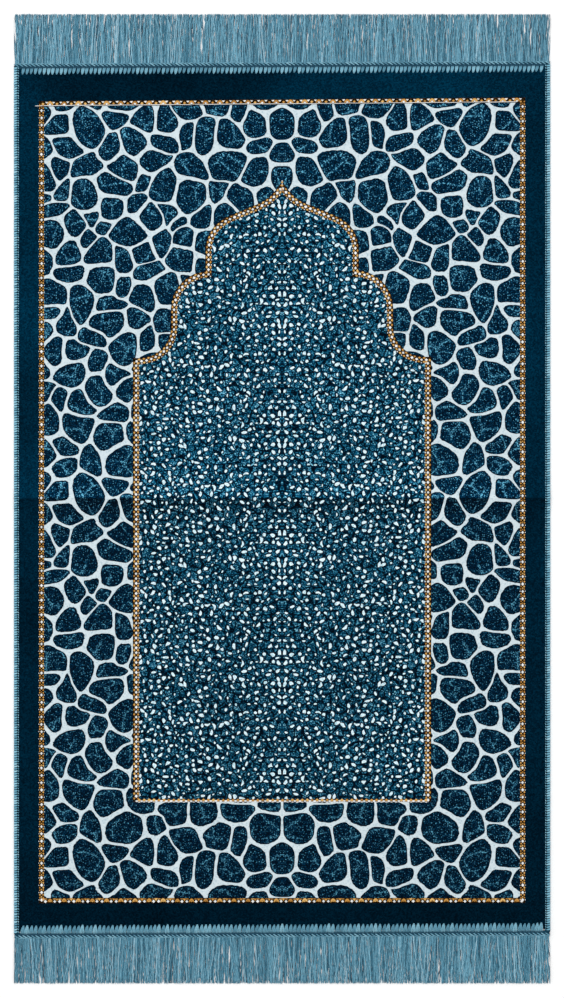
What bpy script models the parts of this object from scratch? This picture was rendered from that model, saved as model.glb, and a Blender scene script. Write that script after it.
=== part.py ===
"""Prayer rug: a flat plush cloth with overlocked sides and a fringe trim on both ends.

Metres, +Z up. The origin is on the floor under the rug's middle. +Y runs to the end that the
arch points to, and +X to the right of someone who looks at the rug from its foot.
"""

import math

import bmesh
import bpy

# ---- Driving sizes -------------------------------------------------------------------------------

MM = 0.001

RUG_WIDTH = 0.660                # over the overlocked sides
RUG_LENGTH = 1.194               # over the tips of both fringes
CLOTH_LENGTH = 1.062             # end to end of the woven cloth
SKEW = 0.005                     # the weft runs uphill to the right, metres per metre

GAP = 0.3 * MM                   # between neighbouring pieces

PILE_THICKNESS = 3.0 * MM        # cloth and pile together
EDGE_THICKNESS = 1.8 * MM        # where the stitches press the pile flat
EDGE_LIFT = 0.9 * MM             # the pressed edge stands on the thread under it
EDGE_BAND = 9.3 * MM             # pressed part of the cloth, inward from its edge
EASE_BAND = 6.0 * MM             # over this width the pile rises to its full height

CREASE_Y = -1.0 * MM             # old fold across the middle
CREASE_HEIGHT = 1.6 * MM
CREASE_REACH = 22.0 * MM         # from the crest to where the cloth is flat again
WAVE_HEIGHT = 0.25 * MM          # uneven height of the pile
WAVE_ACROSS = 0.370              # wavelengths of that unevenness
WAVE_ALONG = 0.570

THREAD_THICKNESS = 0.6 * MM      # thread under the cloth's edge
SERGING_WIDTH = 7.0 * MM
SERGING_TOP = 3.9 * MM
SERGING_ROUND = 0.5 * MM

LOCK_COUNT = 126                 # locks of fringe on each end, and whip stitches above them
HEADING_DEPTH = 5.0 * MM         # chain heading outside the cloth's end
STITCH_REACH = 9.0 * MM          # whip stitches, inward from the cloth's end
STITCH_NOTCH = 2.6 * MM          # cloth that shows between two stitches starts here
STITCH_LEAN = 0.9 * MM           # a stitch's tip lies this far to the right of its root
STITCH_TOP = 4.3 * MM
STITCH_DIP = 3.5 * MM
CHAIN_TOP = 4.7 * MM
CHAIN_DIP = 4.2 * MM
CHAIN_EDGE = 2.9 * MM            # height of the heading where the locks leave it

LOCK_FILL = 0.84                 # a lock's width in its share of the fringe
LOCK_SPREAD = 7.0 * MM           # length over which a lock opens from its root
LOCK_TIP_HEIGHT = 1.5 * MM
LOCK_TIP_FILL = 0.72
LOCK_TRIM = 1.2 * MM             # uneven cut of the tips
LOCK_SWAY = 0.4 * MM             # locks wander sideways together
SWAY_TURN = 0.9                  # angle of the wander from one lock to the next
TRIM_TURN = 2.4                  # angle of the cut's unevenness from one lock to the next

CLOTH_BLUE = (0.004, 0.023, 0.042, 1.0)
YARN_BLUE = (0.123, 0.296, 0.381, 1.0)
THREAD_BLUE = (0.168, 0.376, 0.471, 1.0)

CLOTH_HALF_LENGTH = CLOTH_LENGTH / 2
CLOTH_HALF_WIDTH = RUG_WIDTH / 2 - 2.0 * MM
LOCK_PITCH = RUG_WIDTH / LOCK_COUNT
LOCK_ROOT = CLOTH_HALF_LENGTH + HEADING_DEPTH
LOCK_LENGTH = RUG_LENGTH / 2 - LOCK_ROOT
LOCK_STEPS = (LOCK_SPREAD / LOCK_LENGTH, 0.55, 1.0)     # where a lock bends, as shares of it
SLOT_FLOOR = THREAD_THICKNESS
SLOT_CEILING = EDGE_LIFT + EDGE_THICKNESS + GAP


# ---- Helpers -------------------------------------------------------------------------------------

def clear_scene():
    """Remove every object that the file holds."""
    for old in list(bpy.data.objects):
        bpy.data.objects.remove(old, do_unlink=True)


def make_collection(name):
    """Add a collection to the scene."""
    collection = bpy.data.collections.new(name)
    bpy.context.scene.collection.children.link(collection)
    return collection


def make_material(name, colour, roughness):
    """A plain fabric finish."""
    material = bpy.data.materials.new(name)
    material.use_nodes = True
    shader = material.node_tree.nodes["Principled BSDF"]
    shader.inputs["Base Color"].default_value = colour
    shader.inputs["Roughness"].default_value = roughness
    shader.inputs["Metallic"].default_value = 0.0
    return material


def mesh_object(name, bm, collection, material):
    """Turn a bmesh into a named object with one material."""
    bmesh.ops.recalc_face_normals(bm, faces=bm.faces)
    mesh = bpy.data.meshes.new(name)
    bm.to_mesh(mesh)
    bm.free()
    mesh.materials.append(material)
    piece = bpy.data.objects.new(name, mesh)
    collection.objects.link(piece)
    return piece


def smooth_step(value):
    """Ease from 0 to 1 while the value goes from 0 to 1."""
    clamped = min(max(value, 0.0), 1.0)
    return clamped * clamped * (3 - 2 * clamped)


def loft(bm, sections):
    """Join a row of like sections into one closed solid.

    Returns the faces between each section and the next, one list for each pair.
    """
    rings = [[bm.verts.new(point) for point in section] for section in sections]
    spans = []
    for here, there in zip(rings, rings[1:]):
        corners = len(here)
        span = []
        for corner in range(corners):
            after = (corner + 1) % corners
            span.append(bm.faces.new((here[corner], there[corner], there[after], here[after])))
        spans.append(span)
    bm.faces.new(rings[0])
    bm.faces.new(rings[-1])
    bmesh.ops.recalc_face_normals(bm, faces=bm.faces)
    return spans


# ---- Cloth ---------------------------------------------------------------------------------------

def edge_distance(x, y):
    """How far a point of the cloth is from the nearest of its four edges."""
    return min(CLOTH_HALF_WIDTH - abs(x), CLOTH_HALF_LENGTH - abs(y))


def pile_share(x, y):
    """0 where the stitches press the edge, 1 where the pile stands at its full height."""
    return smooth_step((edge_distance(x, y) - EDGE_BAND) / EASE_BAND)


def crease_lift(y):
    """Height of the old fold: the cloth leaves the floor in a soft low ridge."""
    away = abs(y - CREASE_Y) / CREASE_REACH
    if away >= 1:
        return 0.0
    return CREASE_HEIGHT * (1 - smooth_step(away))


def pile_wave(x, y):
    """Slow rise and fall of the pile's top."""
    across = 2 * math.pi * x / WAVE_ACROSS
    along = 2 * math.pi * y / WAVE_ALONG
    return WAVE_HEIGHT * (math.sin(across) * math.cos(along) + math.sin(along + across / 3)) / 2


def cloth_columns():
    """Places across the cloth, close together only where the edge is pressed."""
    pressed = CLOTH_HALF_WIDTH - EDGE_BAND
    full = pressed - EASE_BAND
    inner = [full * step / 5 for step in range(-5, 6)]
    middle = full + EASE_BAND / 2
    return [-CLOTH_HALF_WIDTH, -pressed, -middle, *inner, middle, pressed, CLOTH_HALF_WIDTH]


def crease_rows():
    """Places along the cloth where the fold's ridge bends."""
    return [CREASE_Y + CREASE_REACH * step / 4 for step in range(-4, 5)]


def cloth_rows():
    """Places along the cloth, close together at the pressed ends and over the crease."""
    pressed = CLOTH_HALF_LENGTH - EDGE_BAND
    full = pressed - EASE_BAND
    middle = full + EASE_BAND / 2
    crease = crease_rows()
    lower = [-full + (crease[0] + full) * step / 8 for step in range(8)]
    upper = [full - (full - crease[-1]) * step / 8 for step in range(7, -1, -1)]
    return [-CLOTH_HALF_LENGTH, -pressed, -middle, *lower, *crease, *upper,
            middle, pressed, CLOTH_HALF_LENGTH]


def build_cloth(collection, material):
    """The one woven cloth, a closed sheet that lies on the floor but for its edges and its fold."""
    columns = cloth_columns()
    rows = cloth_rows()
    bm = bmesh.new()
    bmesh.ops.create_grid(bm, x_segments=len(columns) - 1, y_segments=len(rows) - 1, size=1.0)
    for vert in bm.verts:
        column = round((vert.co.x + 1) / 2 * (len(columns) - 1))
        row = round((vert.co.y + 1) / 2 * (len(rows) - 1))
        x, y = columns[column], rows[row]
        share = pile_share(x, y)
        lift = EDGE_LIFT * (1 - share) + crease_lift(y)
        vert.co = (x, y + SKEW * x, lift)
    under_faces = list(bm.faces)
    top = bmesh.ops.extrude_face_region(bm, geom=under_faces, use_keep_orig=True)
    for vert in (item for item in top["geom"] if isinstance(item, bmesh.types.BMVert)):
        x = vert.co.x
        y = vert.co.y - SKEW * x
        share = pile_share(x, y)
        vert.co.z += EDGE_THICKNESS + (PILE_THICKNESS - EDGE_THICKNESS + pile_wave(x, y)) * share
    return mesh_object("pile_cloth", bm, collection, material)


# ---- Overlocked sides ----------------------------------------------------------------------------

def serging_profile():
    """Section of the right-hand binding, as x and z: a C that holds the cloth's edge."""
    outer = RUG_WIDTH / 2
    inner = outer - SERGING_WIDTH
    slot_end = CLOTH_HALF_WIDTH + GAP
    return [
        (inner, 0.0),
        (outer - SERGING_ROUND, 0.0),
        (outer, SERGING_ROUND),
        (outer, SERGING_TOP - 2 * SERGING_ROUND),
        (outer - SERGING_ROUND, SERGING_TOP - SERGING_ROUND / 2),
        (outer - 2 * SERGING_ROUND, SERGING_TOP),
        (inner + SERGING_ROUND, SERGING_TOP),
        (inner, SERGING_TOP - SERGING_ROUND),
        (inner, SLOT_CEILING),
        (slot_end, SLOT_CEILING),
        (slot_end, SLOT_FLOOR),
        (inner, SLOT_FLOOR),
    ]


def build_serging(name, side, collection, material):
    """Binding of overlock thread along one long edge, lifted with the cloth over the crease."""
    half = CLOTH_HALF_LENGTH - STITCH_REACH - GAP
    sections = []
    for y in [-half, *crease_rows(), half]:
        section = []
        for x, z in serging_profile():
            section.append((side * x, y + SKEW * side * x, z + crease_lift(y)))
        sections.append(section)
    bm = bmesh.new()
    loft(bm, sections)
    return mesh_object(name, bm, collection, material)


# ---- Fringe --------------------------------------------------------------------------------------

def heading_section(crest):
    """Section of the fringe heading: distance along the end, out from the cloth, and height.

    crest is 1 through the middle of a whip stitch and 0 between two stitches.
    """
    stitch_tip = -(STITCH_NOTCH + (STITCH_REACH - STITCH_NOTCH) * crest)
    stitch_top = STITCH_DIP + (STITCH_TOP - STITCH_DIP) * crest
    chain_top = CHAIN_TOP + (CHAIN_DIP - CHAIN_TOP) * crest
    lean = STITCH_LEAN if crest == 1 else 0.0
    return [
        (0.0, -STITCH_REACH, 0.0),
        (0.0, HEADING_DEPTH, 0.0),
        (0.0, HEADING_DEPTH, CHAIN_EDGE),
        (0.0, HEADING_DEPTH / 2, chain_top),
        (0.0, GAP, STITCH_DIP),
        (lean / 2, stitch_tip / 2, stitch_top),
        (lean, stitch_tip, SLOT_CEILING),
        (0.0, GAP, SLOT_CEILING),
        (0.0, GAP, SLOT_FLOOR),
        (0.0, -STITCH_REACH, SLOT_FLOOR),
    ]


OUTER_WALL = 1                   # the side of that section which the locks leave


def lock_size(along):
    """Width and height of a lock where along is 0 at its root and 1 at its tip."""
    opened = smooth_step(along * LOCK_LENGTH / LOCK_SPREAD)
    root_width = LOCK_PITCH / 2
    full_width = LOCK_PITCH * (LOCK_FILL + (LOCK_TIP_FILL - LOCK_FILL) * along)
    width = root_width + (full_width - root_width) * opened
    height = CHAIN_EDGE + (LOCK_TIP_HEIGHT - CHAIN_EDGE) * along
    return width, height


def lock_sway(index, along):
    """Sideways wander of a lock, nearly the same in the locks beside it."""
    edge_calm = math.sin(math.pi * (index + 0.5) / LOCK_COUNT)
    return LOCK_SWAY * along * edge_calm * math.sin(SWAY_TURN * index + math.pi * along)


def lock_trim(index):
    """How much shorter than the longest one a lock is cut."""
    return LOCK_TRIM * abs(math.sin(TRIM_TURN * index))


def grow_locks(bm, roots, end):
    """Extrude each root face outward in steps, so that every lock rests level on the floor."""
    faces = roots
    for along in LOCK_STEPS:
        faces = bmesh.ops.extrude_discrete_faces(bm, faces=faces)["faces"]
        width, height = lock_size(along)
        for face in faces:
            middle = face.calc_center_median().x
            index = round((middle + RUG_WIDTH / 2) / LOCK_PITCH - 0.5)
            centre = (index + 0.5) * LOCK_PITCH - RUG_WIDTH / 2 + lock_sway(index, along)
            outward = along * (LOCK_LENGTH - lock_trim(index))
            slant = SKEW * centre * (1 - along)
            for vert in face.verts:
                side = 1 if vert.co.x > middle else -1
                z = height if vert.co.z > LOCK_TIP_HEIGHT / 2 else 0.0
                vert.co = (centre + side * width / 2, end * (LOCK_ROOT + outward) + slant, z)


def build_fringe(name, end, collection, material):
    """Heading and locks of one end: end is 1 at the head of the rug and -1 at its foot."""
    start = -RUG_WIDTH / 2
    stations = [(start, 0.5)]
    for index in range(LOCK_COUNT):
        stations.append((start + (index + 0.25) * LOCK_PITCH, 1.0))
        stations.append((start + (index + 0.75) * LOCK_PITCH, 0.0))
    stations.append((-start, 0.5))

    sections = []
    for x, crest in stations:
        section = []
        for along, out, height in heading_section(crest):
            section.append((x + along, end * (CLOTH_HALF_LENGTH + out) + SKEW * x, height))
        sections.append(section)
    bm = bmesh.new()
    spans = loft(bm, sections)
    roots = [span[OUTER_WALL] for span in spans[1::2]]
    grow_locks(bm, roots, end)
    return mesh_object(name, bm, collection, material)


# ---- Rug -----------------------------------------------------------------------------------------

def main():
    """Build the rug."""
    clear_scene()
    rug = make_collection("prayer_rug")
    plush = make_material("woven_plush", CLOTH_BLUE, 0.9)
    yarn = make_material("fringe_yarn", YARN_BLUE, 0.6)
    thread = make_material("overlock_thread", THREAD_BLUE, 0.6)
    build_cloth(rug, plush)
    build_serging("serging_left", -1, rug, thread)
    build_serging("serging_right", 1, rug, thread)
    build_fringe("fringe_head", 1, rug, yarn)
    build_fringe("fringe_foot", -1, rug, yarn)


main()
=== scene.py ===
"""Looks of a machine-woven prayer rug, laid flat on the floor.

Metres, +Z up, the floor at z = 0. +Y runs to the end that the arch points to, and +X to the right
of someone who looks at the rug from its foot. The woven design is planned in millimetres on the
flat cloth and then laid on it: a pile cloth with a cell lattice, a spotted field under an arch and
bead chains, overlocked sides, and a stitched fringe on both ends.
"""

import sys
import logging
import math
from dataclasses import dataclass, field, replace
from enum import Enum, IntEnum, IntFlag
from functools import partial
from typing import Any, Iterable, Sequence

import bmesh
import bpy
import numpy as np
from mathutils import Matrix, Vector
from mathutils.geometry import delaunay_2d_cdt


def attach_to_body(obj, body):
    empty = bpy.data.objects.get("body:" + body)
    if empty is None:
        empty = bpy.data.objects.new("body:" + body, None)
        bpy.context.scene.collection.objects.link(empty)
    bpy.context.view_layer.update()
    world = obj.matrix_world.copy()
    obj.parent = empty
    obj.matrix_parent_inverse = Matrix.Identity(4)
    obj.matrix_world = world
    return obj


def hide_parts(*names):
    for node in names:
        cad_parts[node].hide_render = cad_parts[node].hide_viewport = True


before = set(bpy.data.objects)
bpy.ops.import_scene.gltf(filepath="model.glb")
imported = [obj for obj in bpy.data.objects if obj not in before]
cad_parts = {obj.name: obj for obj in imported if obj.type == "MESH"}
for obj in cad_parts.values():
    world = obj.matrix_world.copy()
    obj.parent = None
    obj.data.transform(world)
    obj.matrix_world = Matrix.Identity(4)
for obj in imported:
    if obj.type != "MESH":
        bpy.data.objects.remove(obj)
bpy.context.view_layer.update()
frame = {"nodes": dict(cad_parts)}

log = logging.getLogger("prayer_rug")

MM = 0.001
BODY = "root"
MIRROR = np.array([-1.0, 1.0])
UP = (0.0, 0.0, 1.0)
MID_GREY = (0.5, 0.5, 0.5)
FLAT = {"voronoi_dimensions": "2D"}

Socket = bpy.types.NodeSocket
Tree = bpy.types.NodeTree
Thing = bpy.types.Object
Stops = tuple[tuple[float, str], ...]

MATH, VECTOR, RANGE = "ShaderNodeMath", "ShaderNodeVectorMath", "ShaderNodeMapRange"
NOISE, VORONOI, RAMP = "ShaderNodeTexNoise", "ShaderNodeTexVoronoi", "ShaderNodeValToRGB"
APART, TOGETHER, COORDINATES = "ShaderNodeSeparateXYZ", "ShaderNodeCombineXYZ", "ShaderNodeTexCoord"
CHANNELS, BUMP, RANDOM = "ShaderNodeSeparateColor", "ShaderNodeBump", "FunctionNodeRandomValue"
INDEX, PLACE = "GeometryNodeInputIndex", "GeometryNodeSetPosition"
COPIES, STORE = "GeometryNodeInstanceOnPoints", "GeometryNodeStoreNamedAttribute"
REALIZE, SHADE = "GeometryNodeRealizeInstances", "shade"


# ---- Small helpers ----


def linear(hex_colour: str) -> tuple[float, float, float, float]:
    """Turns an sRGB hex colour into linear RGBA.

    Args:
        hex_colour: Colour such as "#1c5570".

    Returns:
        Linear red, green, blue and an alpha of 1.
    """
    parts = [int(hex_colour[i : i + 2], 16) / 255 for i in (1, 3, 5)]
    red, green, blue = (p / 12.92 if p <= 0.04045 else ((p + 0.055) / 1.055) ** 2.4 for p in parts)
    return red, green, blue, 1.0


def add_node(
    tree: Tree, kind: str, *values: Any, out: int | str = 0, stops: Stops = (), **named: Any
) -> Socket | None:
    """Adds one node, with its settings, its values and the links into it.

    Args:
        tree: Shader or geometry tree that gets the node.
        kind: Blender's type name of the node.
        *values: For its inputs in order, values or the sockets that feed them. None skips one.
        out: Name or index of the output that the caller wants.
        stops: For a colour ramp, its positions and sRGB hex colours.
        **named: With a capital, an input by its name, with _ for a space. Others are settings.

    Returns:
        The wanted output, or None if the node has none. Its node gives the others.
    """
    node = tree.nodes.new(kind)
    inputs: dict[int | str, Any] = dict(enumerate(values))
    for key, value in named.items():
        if key[0].isupper():
            inputs[key.replace("_", " ")] = value
        else:
            setattr(node, key, value)
    for key, value in inputs.items():
        if isinstance(value, Socket):
            tree.links.new(value, node.inputs[key])
        elif value is not None:
            node.inputs[key].default_value = value
    for index, (position, colour) in enumerate(stops):
        elements = node.color_ramp.elements
        element = elements[index] if index < 2 else elements.new(position)
        element.position = position
        element.color = linear(colour)
    return node.outputs[out] if node.outputs else None


def smooth_step(value: np.ndarray) -> np.ndarray:
    """Eases from 0 to 1 as value goes from 0 to 1."""
    t = np.clip(value, 0.0, 1.0)
    return t * t * (3.0 - 2.0 * t)


def inside(points: np.ndarray, ring: np.ndarray) -> np.ndarray:
    """Tells which points lie inside a closed outline.

    Args:
        points: Rows of x and y.
        ring: The outline's corners in order, rows of x and y.

    Returns:
        One truth value for each point.
    """
    x, y = points[:, 0][:, None], points[:, 1][:, None]
    ax, ay = ring[:, 0][None, :], ring[:, 1][None, :]
    bx, by = np.roll(ring[:, 0], -1)[None, :], np.roll(ring[:, 1], -1)[None, :]
    crosses = (ay > y) != (by > y)
    reach = ax + (y - ay) * (bx - ax) / np.where(by == ay, 1.0, by - ay)
    return (np.sum(crosses & (x < reach), axis=1) % 2).astype(bool)


def signed_area(ring: np.ndarray) -> float:
    """Area of an outline, above 0 if it runs counter-clockwise."""
    after = np.roll(ring, -1, axis=0)
    return float(np.sum(ring[:, 0] * after[:, 1] - after[:, 0] * ring[:, 1])) / 2


def densify(line: np.ndarray, step: float, closed: bool = True) -> np.ndarray:
    """Adds points to a line so that no stretch of it is longer than step.

    Args:
        line: Corners in order, rows of x and y.
        step: Longest stretch, in the units of the line.
        closed: Whether the line returns to its first point.

    Returns:
        The line with its added points.
    """
    ends = np.roll(line, -1, axis=0) if closed else line[1:]
    parts = []
    for start, end in zip(line, ends):
        count = max(1, math.ceil(np.linalg.norm(end - start) / step))
        parts.append(start + (end - start) * (np.arange(count) / count)[:, None])
    return np.concatenate(parts if closed else parts + [line[-1:]])


def offset_line(line: np.ndarray, distance: float, sharpest: float = 0.35) -> np.ndarray:
    """Moves a closed line sideways, with mitred corners.

    Args:
        line: Points in order, rows of x and y.
        distance: How far to the right of the line's run.
        sharpest: Least share of a straight line's width, which limits long mitres.

    Returns:
        The moved line, with as many points.
    """
    way_in, way_out = line - np.roll(line, 1, axis=0), np.roll(line, -1, axis=0) - line
    normal_in, normal_out = (
        np.stack([way[:, 1], -way[:, 0]], axis=1) / np.linalg.norm(way, axis=1)[:, None]
        for way in (way_in, way_out)
    )
    share = 1.0 + np.sum(normal_in * normal_out, axis=1)
    return line + distance * (normal_in + normal_out) / np.maximum(share, sharpest)[:, None]


def scattered(
    rng: np.random.Generator, count: int, width: float, repeat: float, tries: int
) -> np.ndarray:
    """Scatters points evenly but irregularly over one half of a mirrored, repeating pattern.

    Args:
        rng: Source of the random draws.
        count: Number of points.
        width: Points lie from 0 to this in x.
        repeat: The pattern repeats after this distance in y.
        tries: Draws for each point. More of them spread the points more evenly.

    Returns:
        Rows of x and y.
    """
    points = np.array([[width * 0.5, repeat * 0.5]])
    for _ in range(count - 1):
        draws = np.stack([rng.uniform(0, width, tries), rng.uniform(0, repeat, tries)], axis=1)
        dx = np.abs(draws[:, None, 0] - points[None, :, 0])
        dy = np.abs(draws[:, None, 1] - points[None, :, 1])
        nearest = np.min(np.hypot(dx, np.minimum(dy, repeat - dy)), axis=1)
        points = np.vstack([points, draws[np.argmax(nearest)]])
    return points


def in_scene(name: str, data: bpy.types.ID) -> Thing:
    """Makes an object of a mesh, light or camera, and links it to the scene.

    Args:
        name: Object's name.
        data: Mesh, light or camera.

    Returns:
        The linked object.
    """
    thing = bpy.data.objects.new(name, data)
    bpy.context.scene.collection.objects.link(thing)
    return thing


def mesh_object(
    name: str,
    points: Iterable[Sequence[float]],
    faces: Iterable[Sequence[int]],
    edges: Sequence[tuple[int, int]] = (),
) -> Thing:
    """Makes a smooth-shaded mesh object at the origin.

    Args:
        name: Name of the object and its mesh.
        points: Vertices, in metres.
        faces: Vertex numbers of each face.
        edges: Vertex numbers of each edge that belongs to no face.

    Returns:
        The new object, linked to the scene.
    """
    mesh = bpy.data.meshes.new(name)
    mesh.from_pydata([tuple(p) for p in points], edges, [tuple(f) for f in faces])
    mesh.shade_smooth()
    return in_scene(name, mesh)


def coordinates(mesh: bpy.types.Mesh) -> np.ndarray:
    """The mesh's vertices as rows of x, y and z.

    Args:
        mesh: Mesh to read.

    Returns:
        Rows of x, y and z in metres.
    """
    flat = np.zeros(len(mesh.vertices) * 3)
    mesh.vertices.foreach_get("co", flat)
    return flat.reshape(-1, 3)


def reshape_mesh(mesh: bpy.types.Mesh, points: np.ndarray) -> None:
    """Moves the mesh's vertices to the given rows of x, y and z."""
    mesh.vertices.foreach_set("co", points.ravel())
    mesh.update()


def join(name: str, pieces: list[Thing]) -> Thing:
    """Joins objects into one.

    Args:
        name: Name of the result.
        pieces: The objects, which are used up.

    Returns:
        The joined object.
    """
    first = pieces[0]
    with bpy.context.temp_override(
        active_object=first, object=first, selected_editable_objects=pieces
    ):
        bpy.ops.object.join()
    first.name = first.data.name = name
    return first


def tube(rings: np.ndarray) -> tuple[np.ndarray, list[list[int]]]:
    """Skins a row of equal rings and closes both of its ends.

    Args:
        rings: Points by ring, corner and axis.

    Returns:
        Its points and faces.
    """
    corner = np.arange(rings.shape[0] * rings.shape[1]).reshape(rings.shape[:2])
    here, after = corner[:-1], corner[1:]
    walls = np.stack([here, np.roll(here, -1, 1), np.roll(after, -1, 1), after], axis=2)
    ends = [corner[0][::-1].tolist(), corner[-1].tolist()]
    return rings.reshape(-1, 3), walls.reshape(-1, 4).tolist() + ends


def strand(
    path: Sequence[Sequence[float]],
    radii: Sequence[float],
    sides: int,
    flat: float = 1.0,
    across: Sequence[float] | None = None,
) -> tuple[np.ndarray, list[list[int]]]:
    """Makes a closed tube of thread along a short path.

    Args:
        path: Points in order, in millimetres.
        radii: The tube's radius at each point, in millimetres.
        sides: Number of its sides.
        flat: Its thickness as a share of its breadth.
        across: Direction of its breadth, if that isn't level with the floor.

    Returns:
        Its points and faces, in metres.
    """
    middle, last = np.array(path, float), len(path) - 1
    way = middle[[*range(1, last + 1), last]] - middle[[0, *range(last)]]
    way = way / np.linalg.norm(way, axis=1)[:, None]
    side = np.cross(way, UP) if across is None else np.tile(across, (last + 1, 1))
    side = side / np.linalg.norm(side, axis=1)[:, None]
    lift = np.cross(side, way)
    angle = 2 * math.pi * (np.arange(sides) + 0.5) / sides
    spokes = np.cos(angle)[None, :, None] * side[:, None]
    spokes = spokes + flat * np.sin(angle)[None, :, None] * lift[:, None]
    return tube((middle[:, None] + np.array(radii)[:, None, None] * spokes) * MM)


def solid_part(name: str, shells: Sequence[tuple[np.ndarray, list[list[int]]]]) -> Thing:
    """Makes one object of several closed shells, with all faces outward.

    Args:
        name: Name of the object.
        shells: Points and faces of each shell.

    Returns:
        The object.
    """
    starts = np.cumsum([0] + [len(points) for points, _ in shells])
    faces = [[i + start for i in face] for start, (_, own) in zip(starts, shells) for face in own]
    part = mesh_object(name, np.concatenate([points for points, _ in shells]), faces)
    bm = bmesh.new()
    bm.from_mesh(part.data)
    bmesh.ops.recalc_face_normals(bm, faces=bm.faces)
    bm.to_mesh(part.data)
    bm.free()
    return part


# ---- The cloth's lie ----


@dataclass(frozen=True)
class RugSurface:
    """How the rug lies: flat, with an old fold across its middle, and its weft a little askew."""

    half_width: float = 328 * MM
    half_length: float = 531 * MM
    pile: float = 3.0 * MM
    pressed: float = 1.8 * MM
    pressed_lift: float = 0.9 * MM
    pressed_band: float = 9.3 * MM
    ease_band: float = 6.0 * MM
    crease_y: float = -1.0 * MM
    crease_height: float = 1.6 * MM
    crease_reach: float = 22 * MM
    wave_height: float = 0.25 * MM
    wave_across: float = 0.370
    wave_along: float = 0.570
    weft_places: tuple[float, ...] = (-0.531, -0.490, -0.371, 0.0, 0.170, 0.280, 0.480, 0.531)
    weft_slopes: tuple[float, ...] = (0.005, 0.000, 0.000, 0.0045, 0.0045, 0.0045, 0.0085, 0.005)

    def full_share(self, x: np.ndarray, y: np.ndarray) -> np.ndarray:
        """Share of the pile's full height, from 0 at the pressed edge to 1."""
        edge = np.minimum(self.half_width - np.abs(x), self.half_length - np.abs(y))
        return smooth_step((edge - self.pressed_band) / self.ease_band)

    def crease(self, y: np.ndarray) -> np.ndarray:
        """Height of the fold above the flat rug."""
        away = np.abs(y - self.crease_y) / self.crease_reach
        return self.crease_height * (1.0 - smooth_step(away))

    def underside(self, x: np.ndarray, y: np.ndarray) -> np.ndarray:
        """Height of the cloth's back above the floor."""
        return self.pressed_lift * (1.0 - self.full_share(x, y)) + self.crease(y)

    def top(self, x: np.ndarray, y: np.ndarray) -> np.ndarray:
        """Height of the pile's surface above the floor.

        Args:
            x: Places across the rug.
            y: Places along it.

        Returns:
            The heights.
        """
        across, along = 2 * math.pi * x / self.wave_across, 2 * math.pi * y / self.wave_along
        wave = self.wave_height * (np.sin(across) * np.cos(along) + np.sin(along + across / 3)) / 2
        rise = (self.pile - self.pressed + wave) * self.full_share(x, y)
        return self.underside(x, y) + self.pressed + rise

    def weft(self, x: np.ndarray, y: np.ndarray) -> np.ndarray:
        """Where a point of the flat plan comes to lie in y, for the weft isn't quite square."""
        return y + np.interp(y, self.weft_places, self.weft_slopes) * x

    def lay(self, piece: Thing, on_top: bool = True) -> None:
        """Lays a piece that was made on the flat plan onto the rug.

        Args:
            piece: Object whose heights are above the pile, or above the floor.
            on_top: Whether its heights are above the pile.
        """
        points = coordinates(piece.data)
        x, y = points[:, 0].copy(), points[:, 1].copy()
        points[:, 2] += self.top(x, y) if on_top else self.crease(y)
        points[:, 1] = self.weft(x, y)
        reshape_mesh(piece.data, points)


# ---- Finishes ----


# Painted light and shade along the old fold: the pile's colour is painted lighter just above the
# crease and darker just below it.
FOLD_SHADE_TONES: Stops = (
    (0.00, "#bcbcbc"), (1.00, "#bcbcbc"), (0.30, "#b2b2b2"), (0.42, "#9c9c9c"),
    (0.47, "#8c8c8c"), (0.492, "#808080"), (0.505, "#e4e4e4"), (0.56, "#dadada"),
    (0.70, "#c8c8c8"),
)
# Painted shade from end to end: the pile's colour is painted darker towards the foot end, most of
# all near it, and lighter towards the head.
LENGTH_SHADE_TONES: Stops = (
    (0.00, "#1a1a1a"), (1.00, "#c4c4c4"), (0.035, "#2e2e2e"), (0.09, "#606060"),
    (0.30, "#787878"), (0.46, "#8d8d8d"), (0.54, "#b0b0b0"), (0.62, "#b8b8b8"),
    (0.85, "#c6c6c6"), (0.95, "#c9c9c9"),
)


class Figure(Enum):
    """What is woven into an area of pile in finer tones."""

    PLAIN = "plain"
    VEINS = "veins"
    CURLS = "curls"


@dataclass(frozen=True)
class BrushedShade:
    """A soft round place where a hand swept the nap the other way, painted darker as shade, in
    metres.
    """

    x: float
    y: float
    reach: float
    tone: float


@dataclass(frozen=True)
class Network:
    """A wavering network of lines: how finely and how far it wavers, and its meshes' width."""

    bend: float
    reach: float
    mesh: float


@dataclass(frozen=True)
class PileFinish:
    """Cut polyester pile: matt and deep, for light sinks in between the tufts.

    Every tuft takes one of several dye tones, so a plain area looks finely speckled. A tuft is
    about 1 mm across, drawn a little larger so that it shows. Light and shade of the nap are
    painted
    into the colour: painted light above the fold and painted shade below it, painted shade that
    changes softly from end to end and is darkest at the foot, a cloudy painted sheen, and darker
    painted patches where the nap lies the other way.
    """

    name: str
    tones: Stops
    figure: Figure = Figure.PLAIN
    tuft: float = 1.5 * MM
    # Share of the painted light and shade along the fold.
    fold: float = 0.8
    # Share of the painted shade from end to end.
    lean: float = 0.35
    # Share of the painted cloudy sheen of the nap.
    clouds: float = 0.06
    light_mark: float = 0.0
    dark_mark: float = 0.0
    specular: float = 0.03
    sheen: float = 0.02
    sheen_tint: str = "#3f8fae"
    # Patches of painted shade where the nap lies the other way.
    brushed: tuple[BrushedShade, ...] = ()

    def material(self) -> bpy.types.Material:
        """Builds the material."""
        return PileMaterial(self).build()


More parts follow.
